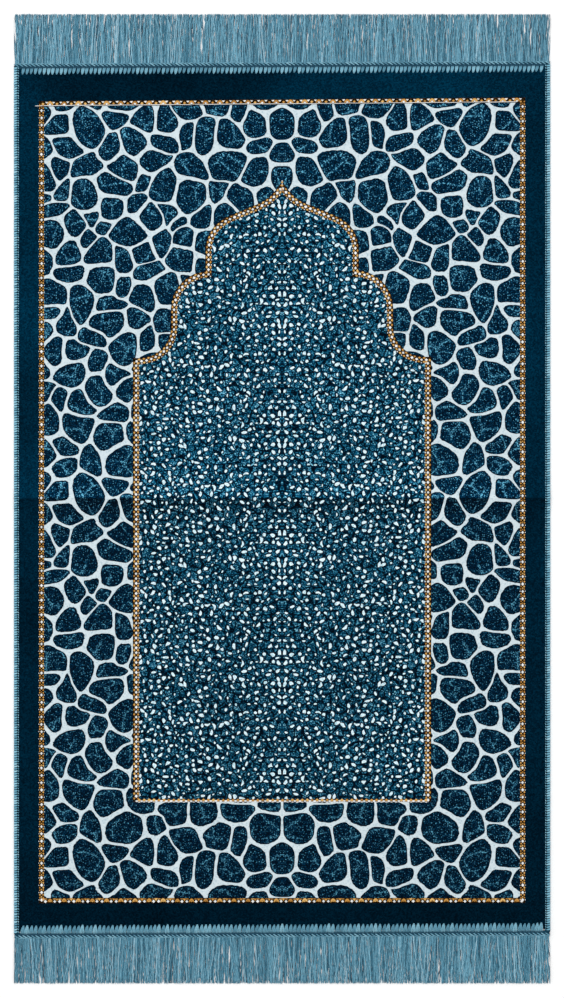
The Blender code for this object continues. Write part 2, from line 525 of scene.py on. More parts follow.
class PileMaterial:
    """Builds one pile finish, on the plan folded along its centre line, as the weave is mirrored.

    Scales of noise are waves to a metre. The other sizes are in metres, or shares of a tone.
    """

    RIPPLE_SCALE, RIPPLE = 160.0, 0.6 * MM
    # The fold's reach and wave, the half length, the cloudy sheen and the patches' cores size the
    # painted nap light and shade.
    FOLD_REACH = (-57 * MM, 63 * MM)
    FOLD_WAVE_SCALE, FOLD_WAVE = 22.0, 4 * MM
    HALF_LENGTH = 531 * MM
    CLOUD_SCALE, CLOUD_TONES = 8.0, (0.3, 0.7)
    BRUSH_CORE = 0.6
    TUFT_HEIGHT, TUFT_SHARE = 0.4 * MM, 0.35

    SPECK_PITCH = 2.4 * MM
    SPECK_EDGE = (0.22, 0.36)
    SPECK_TONE, TUFT_TONE = 0.45, 0.62

    VEIN_NET = Network(28.0, 22 * MM, 25 * MM)
    VEIN_BANDS = ((0.13, 0.5), (0.035, 0.8))
    VEIN_CORE = 0.4
    VEIN_PATCH_SCALE, VEIN_PATCHES = 45.0, (0.40, 0.47)

    STROKE_NET, STROKE_EDGE = Network(90.0, 12 * MM, 9.5 * MM), (0.05, 0.14)
    CURL_NET, CURL_EDGE, CURL_RADIUS = Network(170.0, 4 * MM, 6.8 * MM), (0.03, 0.09), 0.42
    CURL_GAP_SCALE, CURL_GAPS = 150.0, (0.47, 0.54)

    def __init__(self, finish: PileFinish) -> None:
        """Starts the material with the folded plan and the dye tone of each tuft.

        Args:
            finish: The finish to build.
        """
        self.finish = finish
        self.material, self.tree, self.shader = new_material(
            finish.name,
            Roughness=0.95,
            Specular_IOR_Level=finish.specular,
            Sheen_Weight=finish.sheen,
            Sheen_Roughness=0.6,
            Sheen_Tint=linear(finish.sheen_tint),
        )
        self.add = partial(add_node, self.tree)
        self.place = self.add(COORDINATES, out="Object")
        self.folded = self.folded_place()
        self.tufts = self.add(VORONOI, self.folded, Scale=1 / finish.tuft, **FLAT)
        self.dye = self.add(CHANNELS, self.tufts.node.outputs["Color"])

    def folded_place(self) -> Socket:
        """Folds the plan on its centre line, and lets it wander a little.

        Returns:
            Socket of the folded coordinates.
        """
        add = self.add
        apart = add(APART, self.place).node.outputs
        across = add(MATH, apart["X"], operation="ABSOLUTE")
        folded = add(TOGETHER, X=across, Y=apart["Y"])
        ripple = add(NOISE, folded, Scale=self.RIPPLE_SCALE, Detail=1.0, out="Color")
        centred = add(VECTOR, ripple, MID_GREY, operation="SUBTRACT")
        spread = (2 * self.RIPPLE, 2 * self.RIPPLE, 0.0)
        return add(VECTOR, centred, spread, folded, operation="MULTIPLY_ADD")

    def network(self, net: Network) -> tuple[Socket, Socket]:
        """Adds a network of lines and the rounds that lie in it.

        Args:
            net: Its sizes.

        Returns:
            Sockets of the distance to the lines and to the meshes' middles, in meshes.
        """
        add = self.add
        ripple = add(NOISE, self.folded, Scale=net.bend, Detail=1.0, out="Color")
        reach = (net.reach, net.reach, 0.0)
        bent = add(VECTOR, ripple, reach, self.folded, operation="MULTIPLY_ADD")
        edge = add(VORONOI, bent, Scale=1 / net.mesh, feature="DISTANCE_TO_EDGE", **FLAT)
        return edge, add(VORONOI, bent, Scale=1 / net.mesh, **FLAT)

    def add_specks(self) -> None:
        """Adds fine light points, where single tufts catch the light."""
        add, (near, far) = self.add, self.SPECK_EDGE
        specks = add(VORONOI, self.folded, Scale=1 / self.SPECK_PITCH, **FLAT)
        own = add(CHANNELS, specks.node.outputs["Color"])
        tone = {"To_Min": self.SPECK_TONE, "To_Max": 0.0}
        speck = add(RANGE, specks, From_Min=near, From_Max=far, **tone)
        lit = add(MATH, speck, own, operation="MULTIPLY")
        self.dye = add(MATH, self.dye, self.TUFT_TONE, lit, operation="MULTIPLY_ADD")

    def add_veins(self) -> None:
        """Adds soft lighter bands, with a fine line along them, that branch in the cells."""
        add, (low, high) = self.add, self.VEIN_PATCHES
        edge, _ = self.network(self.VEIN_NET)
        patches = add(NOISE, self.folded, Scale=self.VEIN_PATCH_SCALE, Detail=0.0)
        present = add(RANGE, patches, From_Min=low, From_Max=high)
        for reach, share in self.VEIN_BANDS:
            tone = {"To_Min": share * self.finish.light_mark, "To_Max": 0.0}
            line = add(RANGE, edge, From_Min=self.VEIN_CORE * reach, From_Max=reach, **tone)
            self.dye = add(MATH, line, present, self.dye, operation="MULTIPLY_ADD")

    def add_curls(self) -> None:
        """Adds light broken curls and short dark strokes, about 1 mm wide, between the spots."""
        add, tone = self.add, {"To_Min": 1.0, "To_Max": 0.0}
        edge, _ = self.network(self.STROKE_NET)
        near, far = self.STROKE_EDGE
        stroke = add(RANGE, edge, From_Min=near, From_Max=far, **tone)
        _, middle = self.network(self.CURL_NET)
        off = add(MATH, middle, self.CURL_RADIUS, operation="SUBTRACT")
        near, far = self.CURL_EDGE
        away = add(MATH, off, operation="ABSOLUTE")
        ring = add(RANGE, away, From_Min=near, From_Max=far, **tone)
        gaps = add(NOISE, self.folded, Scale=self.CURL_GAP_SCALE, Detail=0.0)
        low, high = self.CURL_GAPS
        broken = add(RANGE, gaps, From_Min=low, From_Max=high)
        curl = add(MATH, ring, broken, operation="MULTIPLY")
        lit = add(MATH, curl, self.finish.light_mark, self.dye, operation="MULTIPLY_ADD")
        self.dye = add(MATH, stroke, -self.finish.dark_mark, lit, operation="MULTIPLY_ADD")

    def painted_nap_shade(self) -> Socket:
        """Paints light and shade into the pile's colour: light above the fold and shade below it,
        shade towards the foot end, a cloudy sheen, and darker patches where the nap lies the other
        way.

        Returns:
            Socket of a factor for the pile's colour, about 1.
        """
        add, (start, end) = self.add, self.FOLD_REACH
        y = add(APART, self.place, out="Y")
        wave = add(NOISE, self.place, Scale=self.FOLD_WAVE_SCALE, Detail=2.0)
        waved = add(MATH, wave, self.FOLD_WAVE, y, operation="MULTIPLY_ADD")
        near = add(RANGE, waved, From_Min=start, From_Max=end)
        along = add(RANGE, y, From_Min=-self.HALF_LENGTH, From_Max=self.HALF_LENGTH)
        # Painted sheen: soft cloudy patches of lighter and darker pile, where the nap catches the
        # light differently.
        sheen_cloud = add(NOISE, self.place, Scale=self.CLOUD_SCALE, Detail=3.0)
        parts = (
            (add(RAMP, near, stops=FOLD_SHADE_TONES), (0.0, 1.0), self.finish.fold),
            (add(RAMP, along, stops=LENGTH_SHADE_TONES), (0.0, 1.0), self.finish.lean),
            (sheen_cloud, self.CLOUD_TONES, self.finish.clouds),
        )
        tone = 1.0
        for value, (low, high), share in parts:
            span = {"From_Min": low, "From_Max": high, "To_Min": 1 - share, "To_Max": 1 + share}
            tone = add(MATH, tone, add(RANGE, value, **span), operation="MULTIPLY")
        # Painted shade: each patch where the nap lies the other way is painted darker towards its
        # middle.
        for patch in self.finish.brushed:
            middle = (patch.x, patch.y, 0.0)
            away = add(VECTOR, self.place, middle, out="Value", operation="DISTANCE")
            span = {"From_Min": self.BRUSH_CORE * patch.reach, "From_Max": patch.reach}
            soft = {"To_Min": patch.tone, "interpolation_type": "SMOOTHSTEP"}
            tone = add(MATH, tone, add(RANGE, away, **span, **soft), operation="MULTIPLY")
        return tone

    def build(self) -> bpy.types.Material:
        """Adds the finish's figure, its colours and its painted nap light and shade.

        Returns:
            The finished material.
        """
        if self.finish.figure is not Figure.PLAIN:
            self.add_specks()
            figures = {Figure.VEINS: self.add_veins, Figure.CURLS: self.add_curls}
            figures[self.finish.figure]()
        colour = self.add(RAMP, self.dye, stops=self.finish.tones)
        toned = self.add(VECTOR, colour, Scale=self.painted_nap_shade(), operation="SCALE")
        self.tree.links.new(toned, self.shader.inputs["Base Color"])
        height = {"Height": self.tufts, "Distance": self.TUFT_HEIGHT}
        tufted = self.add(BUMP, Strength=self.TUFT_SHARE, invert=True, **height)
        self.tree.links.new(tufted, self.shader.inputs["Normal"])
        return self.material


def new_material(name: str, **values: Any) -> tuple[bpy.types.Material, Tree, bpy.types.Node]:
    """Makes a node material.

    Args:
        name: What the real material is and how it was made.
        **values: Values of the shader's inputs, with _ for each space in their names.

    Returns:
        The material, its tree and its Principled shader.
    """
    material = bpy.data.materials.new(name)
    material.use_nodes = True
    shader = next(n for n in material.node_tree.nodes if n.type == "BSDF_PRINCIPLED")
    for key, value in values.items():
        shader.inputs[key.replace("_", " ")].default_value = value
    return material, material.node_tree, shader


@dataclass(frozen=True)
class ThreadFinish:
    """Twisted polyester thread: a soft gloss on the crown of each strand, dark between strands.

    Strands differ a little in shade, by the piece's own "shade" attribute.
    """

    name: str
    tones: Stops
    fibre: float = 0.9 * MM
    stretch: float = 5.0
    specular: float = 0.35
    sheen: float = 0.1
    spread: float = 0.55
    fibre_height: float = 0.3 * MM

    def material(self) -> bpy.types.Material:
        """Builds the material.

        Returns:
            The material.
        """
        material, tree, shader = new_material(
            self.name,
            Roughness=0.55,
            Specular_IOR_Level=self.specular,
            Sheen_Weight=self.sheen,
        )
        add = partial(add_node, tree)
        place = add(COORDINATES, out="Object")
        drawn = add("ShaderNodeMapping", place, Scale=(1.0, 1 / self.stretch, 1.0))
        fibres = add(NOISE, drawn, Scale=1 / self.fibre, Detail=2.0, Roughness=0.6)
        shade = add("ShaderNodeAttribute", out="Fac", attribute_name=SHADE)
        own = add(MATH, shade, self.spread, operation="MULTIPLY")
        mixed = add(MATH, fibres, 1 - self.spread, own, operation="MULTIPLY_ADD")
        tree.links.new(add(RAMP, mixed, stops=self.tones), shader.inputs["Base Color"])
        twisted = add(BUMP, Height=fibres, Strength=0.4, Distance=self.fibre_height)
        tree.links.new(twisted, shader.inputs["Normal"])
        return material


@dataclass(frozen=True)
class BackingFinish:
    """Plain-woven backing of the pile: dull crossing yarns, 1.8 mm apart."""

    name: str = "polypropylene_backing_woven"
    yarn: float = 1.8 * MM
    yarn_height: float = 0.4 * MM
    tones: Stops = ((0.0, "#1d4254"), (1.0, "#7fa2ae"), (0.4, "#4c7789"))

    def material(self) -> bpy.types.Material:
        """Builds the material.

        Returns:
            The material.
        """
        material, tree, shader = new_material(self.name, Roughness=0.9, Specular_IOR_Level=0.1)
        add = partial(add_node, tree)
        place = add(COORDINATES, out="Object")
        waves = {"Scale": math.pi / (10 * self.yarn), "Distortion": 0.6, "out": "Fac"}
        ribs = [add("ShaderNodeTexWave", place, bands_direction=way, **waves) for way in ("X", "Y")]
        crossing = add(MATH, *ribs, operation="MULTIPLY")
        tree.links.new(add(RAMP, crossing, stops=self.tones), shader.inputs["Base Color"])
        woven = add(BUMP, Height=crossing, Strength=0.5, Distance=self.yarn_height)
        tree.links.new(woven, shader.inputs["Normal"])
        return material


BORDER_PILE = PileFinish(
    "polyester_pile_cut_border",
    ((0.0, "#001523"), (1.0, "#012c41"), (0.5, "#002033")),
    fold=0.75,
    lean=0.6,
    clouds=0.30,
    specular=0.0,
    sheen=0.05,
    brushed=(BrushedShade(-0.16, 0.56, 0.19, 0.45),),
)
LATTICE_PILE = PileFinish(
    "polyester_pile_cut_ivory",
    ((0.0, "#a4bac3"), (1.0, "#ccd9dd"), (0.2, "#bfced5")),
    fold=0.08,
    lean=0.0,
    clouds=0.03,
    sheen_tint="#ffffff",
)
# Painted shade: the rim of each cell, where its pile slopes down to the lattice, is coloured darker
# than the cell, standing in for the shade at the pile's edge.
RIM_PILE_PAINTED_SHADE = PileFinish(
    "polyester_pile_cut_ink",
    ((0.0, "#000d19"), (1.0, "#003450"), (0.7, "#001729")),
)
CELL_PILE = PileFinish(
    "polyester_pile_cut_petrol",
    (
        (0.00, "#000a14"), (1.00, "#62adc8"), (0.28, "#001222"), (0.48, "#001e36"),
        (0.62, "#003856"),
    ),
    figure=Figure.VEINS,
    tuft=1.1 * MM,
    fold=1.15,
    light_mark=0.26,
)
CHAIN_PILE = PileFinish(
    "polyester_pile_cut_dark_brown",
    ((0.0, "#080401"), (1.0, "#402809"), (0.6, "#1a1004")),
    fold=0.25,
    sheen_tint="#a87b30",
)
FIELD_PILE = PileFinish(
    "polyester_pile_cut_teal",
    (
        (0.00, "#000813"), (1.00, "#96d3e8"), (0.14, "#001626"), (0.32, "#002d46"),
        (0.50, "#0b5270"), (0.68, "#3484a4"),
    ),
    figure=Figure.CURLS,
    tuft=1.1 * MM,
    fold=1.1,
    clouds=0.14,
    light_mark=0.34,
    dark_mark=0.5,
)
OUTLINE_PILE = PileFinish(
    "polyester_pile_cut_night_blue",
    ((0.0, "#000811"), (1.0, "#003c5a"), (0.65, "#001221")),
)
SPOT_PILE = replace(
    LATTICE_PILE,
    name="polyester_pile_cut_white",
    tones=((0.0, "#9cc4d2"), (1.0, "#dbebf1"), (0.3, "#c4dbe4")),
)

GOLD_YARN = ThreadFinish(
    "lurex_yarn_gold",
    ((0.0, "#7c4f15"), (1.0, "#e9c47c"), (0.5, "#bf8733")),
    specular=0.4,
    sheen=0.0,
)
WHITE_YARN = ThreadFinish(
    "polyester_yarn_white",
    ((0.0, "#c2c6c6"), (1.0, "#f4f4f2")),
    specular=0.3,
)
# Its shade attribute carries painted shade: yarns lower in the fringe are darker.
FRINGE_YARN = ThreadFinish(
    "rayon_fringe_yarn_twisted",
    (
        (0.00, "#032232"), (1.00, "#dde8ee"), (0.28, "#144c63"), (0.50, "#3f7f98"),
        (0.72, "#7cb4c9"),
    ),
    fibre=0.8 * MM,
    stretch=3.5,
    spread=0.65,
)
STITCH_THREAD = ThreadFinish(
    "polyester_overlock_thread",
    ((0.0, "#1b4d62"), (1.0, "#b4d6e2"), (0.45, "#5790a7"), (0.7, "#7eb2c5")),
    fibre=0.7 * MM,
    stretch=2.0,
    spread=0.35,
)
# Painted light: a lighter copy of the same overlock thread, so that the crowns of the serging wraps
# look more brightly lit.
SERGING_THREAD_PAINTED_LIGHT = replace(
    STITCH_THREAD,
    name="polyester_overlock_thread_light",
    tones=((0.0, "#2f7089"), (1.0, "#c8e0e9"), (0.45, "#68a7be"), (0.7, "#88bfd2")),
    spread=0.5,
)
# Painted shade: the core under the serging wraps and the band under the fringe's stitches are dark,
# standing in for the shade in the gaps between the threads.
CORE_THREAD_PAINTED_SHADE = ThreadFinish(
    "polyester_thread_shaded",
    ((0.0, "#062231"), (1.0, "#275f76"), (0.5, "#0f3a4e")),
    fibre=0.8 * MM,
    stretch=1.0,
    specular=0.1,
    sheen=0.0,
    spread=0.0,
)


# ---- The woven design, in millimetres on the flat plan ----


class Tag(IntFlag):
    """What an outline of the plan encloses."""

    CLOTH = 1
    OUTER_CHAIN = 2
    LATTICE = 4
    ARCH_CHAIN = 8
    ARCH_FIELD = 16
    CELL = 32
    CELL_CORE = 64
    OUTLINE = 128
    SPOT = 256


class Zone(IntEnum):
    """Areas of the cloth that differ in pile, in the order of its material slots."""

    BORDER = 0
    LATTICE = 1
    CELL_RIM = 2
    CELL = 3
    CHAIN = 4
    FIELD = 5
    OUTLINE = 6
    SPOT = 7
    BACK = 8


@dataclass(frozen=True)
class ZoneMake:
    """How one zone is made: its finish, and how far its pile stands out, in millimetres."""

    finish: PileFinish | BackingFinish
    relief: float = 0.0


ZONES: dict[Zone, ZoneMake] = {
    Zone.BORDER: ZoneMake(BORDER_PILE),
    Zone.LATTICE: ZoneMake(LATTICE_PILE),
    Zone.CELL_RIM: ZoneMake(RIM_PILE_PAINTED_SHADE, 0.08),
    Zone.CELL: ZoneMake(CELL_PILE, 0.26),
    Zone.CHAIN: ZoneMake(CHAIN_PILE, -0.10),
    Zone.FIELD: ZoneMake(FIELD_PILE),
    Zone.OUTLINE: ZoneMake(OUTLINE_PILE, -0.06),
    Zone.SPOT: ZoneMake(SPOT_PILE, 0.20),
    Zone.BACK: ZoneMake(BackingFinish()),
}


@dataclass(frozen=True)
class MihrabArch:
    """Outline of the arched field, drawn with arcs: a pointed crown, then two scalloped steps."""

    tip: float = 384.0
    crown_swing: tuple[float, float] = (12.0, 364.0)
    crown_foot: tuple[float, float] = (37.0, 356.0)
    shoulder: tuple[float, float] = (63.0, 345.0)
    shoulder_drop: float = 12.0
    neck: float = 90.5
    neck_top: float = 305.0
    upper_step: float = 276.6
    lobe: float = 132.8
    lobe_foot: float = 211.0
    side: float = 179.6
    step_nose: float = 4.0
    lower_step: float = 170.0
    foot: float = -371.4
    foot_share: float = 0.45
    chain: float = 8.0
    arc_points: int = 9
    nearest: float = 0.5

    def half(self) -> np.ndarray:
        """Right half of the centre line, from the tip down to the foot.

        Returns:
            Rows of x and y in millimetres.
        """
        turn = np.linspace(0, 1, self.arc_points)[:, None]
        bends = (
            ((0, self.tip), self.crown_swing, self.crown_foot),
            (self.shoulder, (self.neck, self.shoulder[1] - self.shoulder_drop),
             (self.neck, self.neck_top)),
        )
        crown = [
            (1 - turn) ** 2 * np.array(a) + 2 * turn * (1 - turn) * np.array(b)
            + turn**2 * np.array(c)
            for a, b, c in bends
        ]
        wide = self.lobe - self.neck
        nose = self.side - self.step_nose
        rounds = (
            (self.neck, self.upper_step - wide, wide, wide, 90, -90),
            (nose, self.lobe_foot, nose - self.lobe, self.lobe_foot - self.lower_step, 180, 90),
        )
        steps = [
            np.hstack([
                x + across * np.cos(np.radians(first + sweep * turn)),
                y + up * np.sin(np.radians(first + sweep * turn)),
            ])
            for x, y, across, up, first, sweep in rounds
        ]
        end = np.array([[self.side, self.lower_step], [self.side, self.foot]])
        return np.concatenate([*crown, *steps, end])

    def centre_line(self) -> np.ndarray:
        """The whole closed line, clockwise from the tip."""
        right = self.half()
        return np.concatenate([right, right[1:][::-1] * MIRROR])

    def ring(self, inward: float) -> np.ndarray:
        """The closed line at a distance inside the centre line.

        Args:
            inward: The distance, below 0 for outside.

        Returns:
            The ring's points, with none across the rug's centre line.
        """
        right = offset_line(self.centre_line(), inward)[: len(self.half())]
        right[-1, 1] = self.foot + self.foot_share * (right[-1, 1] - self.foot)
        first = int(np.argmax(right[:, 0] > self.nearest))
        if first:
            a, b = right[first - 1], right[first]
            axis = (0.0, a[1] - a[0] * (b[1] - a[1]) / (b[0] - a[0]))
            right = np.vstack([axis, right[first:]])
        return np.concatenate([right, right[1:][::-1] * MIRROR])


@dataclass(frozen=True)
class ChainFrame:
    """The straight bead chain round the lattice."""

    side: float = 296.1
    head: float = 488.5
    foot: float = -494.6
    chain: float = 6.6

    def ring(self, outward: float) -> np.ndarray:
        """Rectangle at a distance outside the centre line."""
        x, head, foot = self.side + outward, self.head + outward, self.foot - outward
        return np.array([[-x, foot], [x, foot], [x, head], [-x, head]])


@dataclass(frozen=True)
class CellLattice:
    """Giraffe-like cells in a pale lattice, mirrored on the centre line and repeated lengthwise."""

    seed: int = 16
    half_width: float = 312.0
    side_gap: float = 10.0
    repeat: float = 452.0
    count: int = 150
    even_tries: int = 7
    relax: int = 3
    relax_share: float = 0.6
    near: int = 25
    relax_near: int = 19
    reach: float = 60.0
    axis_snap: float = 9.0
    axis_clear: float = 1.9
    gap: tuple[float, float] = (2.4, 3.6)
    rim: float = 1.6
    corner: tuple[float, float] = (3.5, 10.0)
    corner_share: float = 0.48
    corner_points: tuple[float, ...] = (0.0, 0.33, 0.67, 1.0)
    shortest_side: float = 0.8
    step: float = 3.2
    jag: float = 0.2
    long_bend: float = 3.4
    short_bend: float = 0.8
    bend_ease: float = 25.0
    axis_round: float = 20.0
    corner_draws: int = 9
    jag_draws: int = 400
    turns: tuple[int, ...] = (-2, -1, 0, 1, 2)
    shift: float = 120.0
    smallest: float = 45.0

    def snapped(self, points: np.ndarray) -> np.ndarray:
        """The points, with those near the centre line put on it or well away from it.

        Args:
            points: Rows of x and y.

        Returns:
            Rows of the same count.
        """
        x = points[:, 0]
        x = np.where(x < self.axis_snap, 0.0, np.maximum(x, self.axis_clear * self.axis_snap))
        return np.column_stack([x, points[:, 1]])

    def neighbours(self, points: np.ndarray) -> np.ndarray:
        """The points with their mirror images and their repeats.

        Args:
            points: Rows of x and y of the right half.

        Returns:
            Rows of all of them.
        """
        both = np.concatenate([points, points[points[:, 0] > 0] * MIRROR])
        step = np.array([0.0, self.repeat])
        return np.concatenate([both - step, both, both + step])

    def cell(self, middle: np.ndarray, others: np.ndarray, gaps: np.ndarray, more: float) -> list:
        """Cuts one cell out of the plane, half a gap away from each neighbour's half.

        Args:
            middle: The cell's point.
            others: Points of its neighbours, nearest first.
            gaps: Width of the lattice towards each neighbour.
            more: Extra distance inward.

        Returns:
            Corners of the cell, none if nothing is left of it.
        """
        (x, y), reach = middle, self.reach
        right = min(x + reach, self.half_width - self.side_gap)
        corners = ((x - reach, y - reach), (right, y - reach), (right, y + reach))
        polygon = [np.array(c) for c in (*corners, (x - reach, y + reach))]
        for other, gap in zip(others, gaps):
            way = other - middle
            distance = np.linalg.norm(way)
            way = way / distance
            limit = float(way @ middle) + distance / 2 - gap / 2 - more
            kept = []
            for a, b in zip(polygon, polygon[1:] + polygon[:1]):
                da, db = float(way @ a) - limit, float(way @ b) - limit
                if da <= 0:
                    kept.append(a)
                if (da < 0 < db) or (db < 0 < da):
                    kept.append(a + (b - a) * (da / (da - db)))
            polygon = kept
            if len(polygon) < 3:
                return []
        return polygon

    @staticmethod
    def nearest(middle: np.ndarray, around: np.ndarray, count: int) -> np.ndarray:
        """The points nearest to a cell's own, without that one."""
        return around[np.argsort(np.linalg.norm(around - middle, axis=1))[1 : count + 1]]

    def relaxed(self, points: np.ndarray) -> np.ndarray:
        """Moves each point towards the middle of its cell, so that the cells grow more alike.

        Args:
            points: Rows of x and y.

        Returns:
            Moved rows of the same count.
        """
        around, moved = self.neighbours(points), []
        no_gaps = np.zeros(self.relax_near)
        for middle in points:
            others = self.nearest(middle, around, self.relax_near)
            polygon = np.array(self.cell(middle, others, no_gaps, 0.0))
            kept = 1 - self.relax_share
            moved.append(kept * middle + self.relax_share * polygon.mean(axis=0))
        return self.snapped(np.abs(np.array(moved)))

    def rounded(self, polygon: list, cuts: np.ndarray) -> np.ndarray:
        """Rounds a cell's corners.

        Args:
            polygon: The cell's corners.
            cuts: How far from each corner the rounding starts, cycled through.

        Returns:
            The rounded outline.
        """
        lengths = [np.linalg.norm(p - polygon[i - 1]) for i, p in enumerate(polygon)]
        apart = [p for p, length in zip(polygon, lengths) if length > self.shortest_side]
        outline = []
        for i, here in enumerate(apart):
            to_before = apart[i - 1] - here
            to_after = apart[(i + 1) % len(apart)] - here
            cut = cuts[i % len(cuts)]
            a, b = (
                here + way * min(self.corner_share, cut / np.linalg.norm(way))
                for way in (to_before, to_after)
            )
            for t in self.corner_points:
                outline.append((1 - t) ** 2 * a + 2 * t * (1 - t) * here + t * t * b)
        return np.array(outline)

    def bent(self, points: np.ndarray, phases: np.ndarray) -> np.ndarray:
        """Bends the plan softly: long waves stretch the cells, and short ones curve their sides.

        Args:
            points: Rows of x and y.
            phases: Phases of the waves.

        Returns:
            The bent points.
        """
        x = np.hypot(points[:, 0], self.axis_round)
        y = points[:, 1] * 2 * math.pi / self.repeat

        def waves(*shapes: tuple[int, float, int]) -> np.ndarray:
            """Adds up waves, each given by its turns in a repeat, its length in x and its phase."""
            return sum(np.sin(turns * y + x / long + phases[k]) for turns, long, k in shapes)

        dx = self.long_bend * waves((5, 17.0, 0), (3, -14.0, 1))
        dx += self.short_bend * waves((11, 7.0, 2))
        dy = self.long_bend * waves((4, 15.0, 3), (-6, 19.0, 4))
        dy += self.short_bend * waves((9, 6.5, 5))
        return points + np.column_stack([dx * np.tanh(points[:, 0] / self.bend_ease), dy])

    def outlines(self, chain: ChainFrame, arch_ring: np.ndarray) -> list[tuple[np.ndarray, Tag]]:
        """Outlines of all cells and of their cores.

        Args:
            chain: The frame round the lattice.
            arch_ring: Inner edge of the arch's chain.

        Returns:
            Each outline with its tag.
        """
        rng = np.random.default_rng(self.seed)
        points = scattered(rng, self.count, self.half_width, self.repeat, self.even_tries)
        points = self.snapped(points)
        for _ in range(self.relax):
            points = self.relaxed(points)
        around = self.neighbours(points)
        phases = rng.uniform(0, 2 * math.pi, 6)
        found: list[tuple[np.ndarray, Tag]] = []
        for middle in points:
            others = self.nearest(middle, around, self.near)
            pair = np.abs(np.sin(others.sum(axis=1) % self.repeat + middle.sum()))
            gaps = self.gap[0] + (self.gap[1] - self.gap[0]) * pair
            cuts = rng.uniform(*self.corner, self.corner_draws)
            jags = rng.normal(0.0, self.jag, (self.jag_draws, 2))
            for more, tag in ((0.0, Tag.CELL), (self.rim, Tag.CELL_CORE)):
                polygon = self.cell(middle, others, gaps, more)
                if not polygon or signed_area(np.array(polygon)) < self.smallest:
                    continue
                ring = densify(self.rounded(polygon, cuts - more), self.step)
                ring = self.bent(ring + jags[: len(ring)] * (middle[0] > 0), phases)
                for copy in [ring] if middle[0] == 0 else [ring, ring * MIRROR]:
                    for times in self.turns:
                        placed = copy + np.array([0.0, times * self.repeat + self.shift])
                        if self.shows(placed, chain, arch_ring):
                            found.append((placed, tag))
        return found

    @staticmethod
    def shows(ring: np.ndarray, chain: ChainFrame, arch_ring: np.ndarray) -> bool:
        """Whether any of a cell lies on the lattice's ground.

        Args:
            ring: Cell's outline.
            chain: Chain round the lattice.
            arch_ring: Arch's closed outline.

        Returns:
            True if some of it lies inside the chain and outside the arch.
        """
        low, high = ring.min(axis=0), ring.max(axis=0)
        if low[0] > chain.side or high[0] < -chain.side:
            return False
        if low[1] > chain.head or high[1] < chain.foot:
            return False
        return not inside(ring, arch_ring).all()


@dataclass(frozen=True)
class SpottedField:
    """Small pale spots with dark outlines, mirrored on the centre line and repeated lengthwise."""

    seed: int = 9
    half_width: float = 180.0
    repeat: float = 147.0
    count: int = 318
    even_tries: int = 9
    radius: tuple[float, float] = (1.1, 2.75)
    stretch: tuple[float, float] = (1.0, 2.3)
    outline: float = 1.4
    corners: int = 7
    rough: float = 0.18
    curl: float = 0.12
    aside: float = 3.4
    off_centre: float = 0.45

    def outlines(self, arch_ring: np.ndarray) -> list[tuple[np.ndarray, Tag]]:
        """Outlines of all spots and of the dark rings round them.

        Args:
            arch_ring: Inner edge of the arch's chain.

        Returns:
            Each outline with its tag.
        """
        rng = np.random.default_rng(self.seed)
        points = scattered(rng, self.count, self.half_width, self.repeat, self.even_tries)
        points[:, 0] = np.maximum(points[:, 0], self.aside)
        low, high = arch_ring[:, 1].min(), arch_ring[:, 1].max()
        turns = range(math.floor(low / self.repeat) - 1, math.ceil(high / self.repeat) + 2)
        found: list[tuple[np.ndarray, Tag]] = []
        for middle in points:
            turn = np.arange(self.corners) * 2 * math.pi / self.corners + rng.uniform(0, 1)
            rough = 1 + rng.normal(0, self.rough, self.corners)
            size, aspect = rng.uniform(*self.radius), math.sqrt(rng.uniform(*self.stretch))
            lean, curl = rng.uniform(0, math.pi), rng.uniform(-self.curl, self.curl)
            aside = rng.uniform(-self.off_centre, self.off_centre, 2)
            c, s = math.cos(lean), math.sin(lean)
            for more, tag in ((0.0, Tag.SPOT), (self.outline, Tag.OUTLINE)):
                x = (size * aspect + more) * rough * np.cos(turn)
                y = (size / aspect + more) * rough * np.sin(turn) + curl * x * x
                ring = middle + np.column_stack([c * x - s * y, s * x + c * y])
                ring = ring + aside * (tag is Tag.OUTLINE)
                for mirror in (1.0, -1.0):
                    for times in turns:
                        placed = (ring + (0.0, times * self.repeat)) * (mirror, 1.0)
                        if placed[:, 1].max() < low or placed[:, 1].min() > high:
                            continue
                        if inside(placed.mean(axis=0)[None, :], arch_ring)[0]:
                            found.append((placed, tag))
        return found


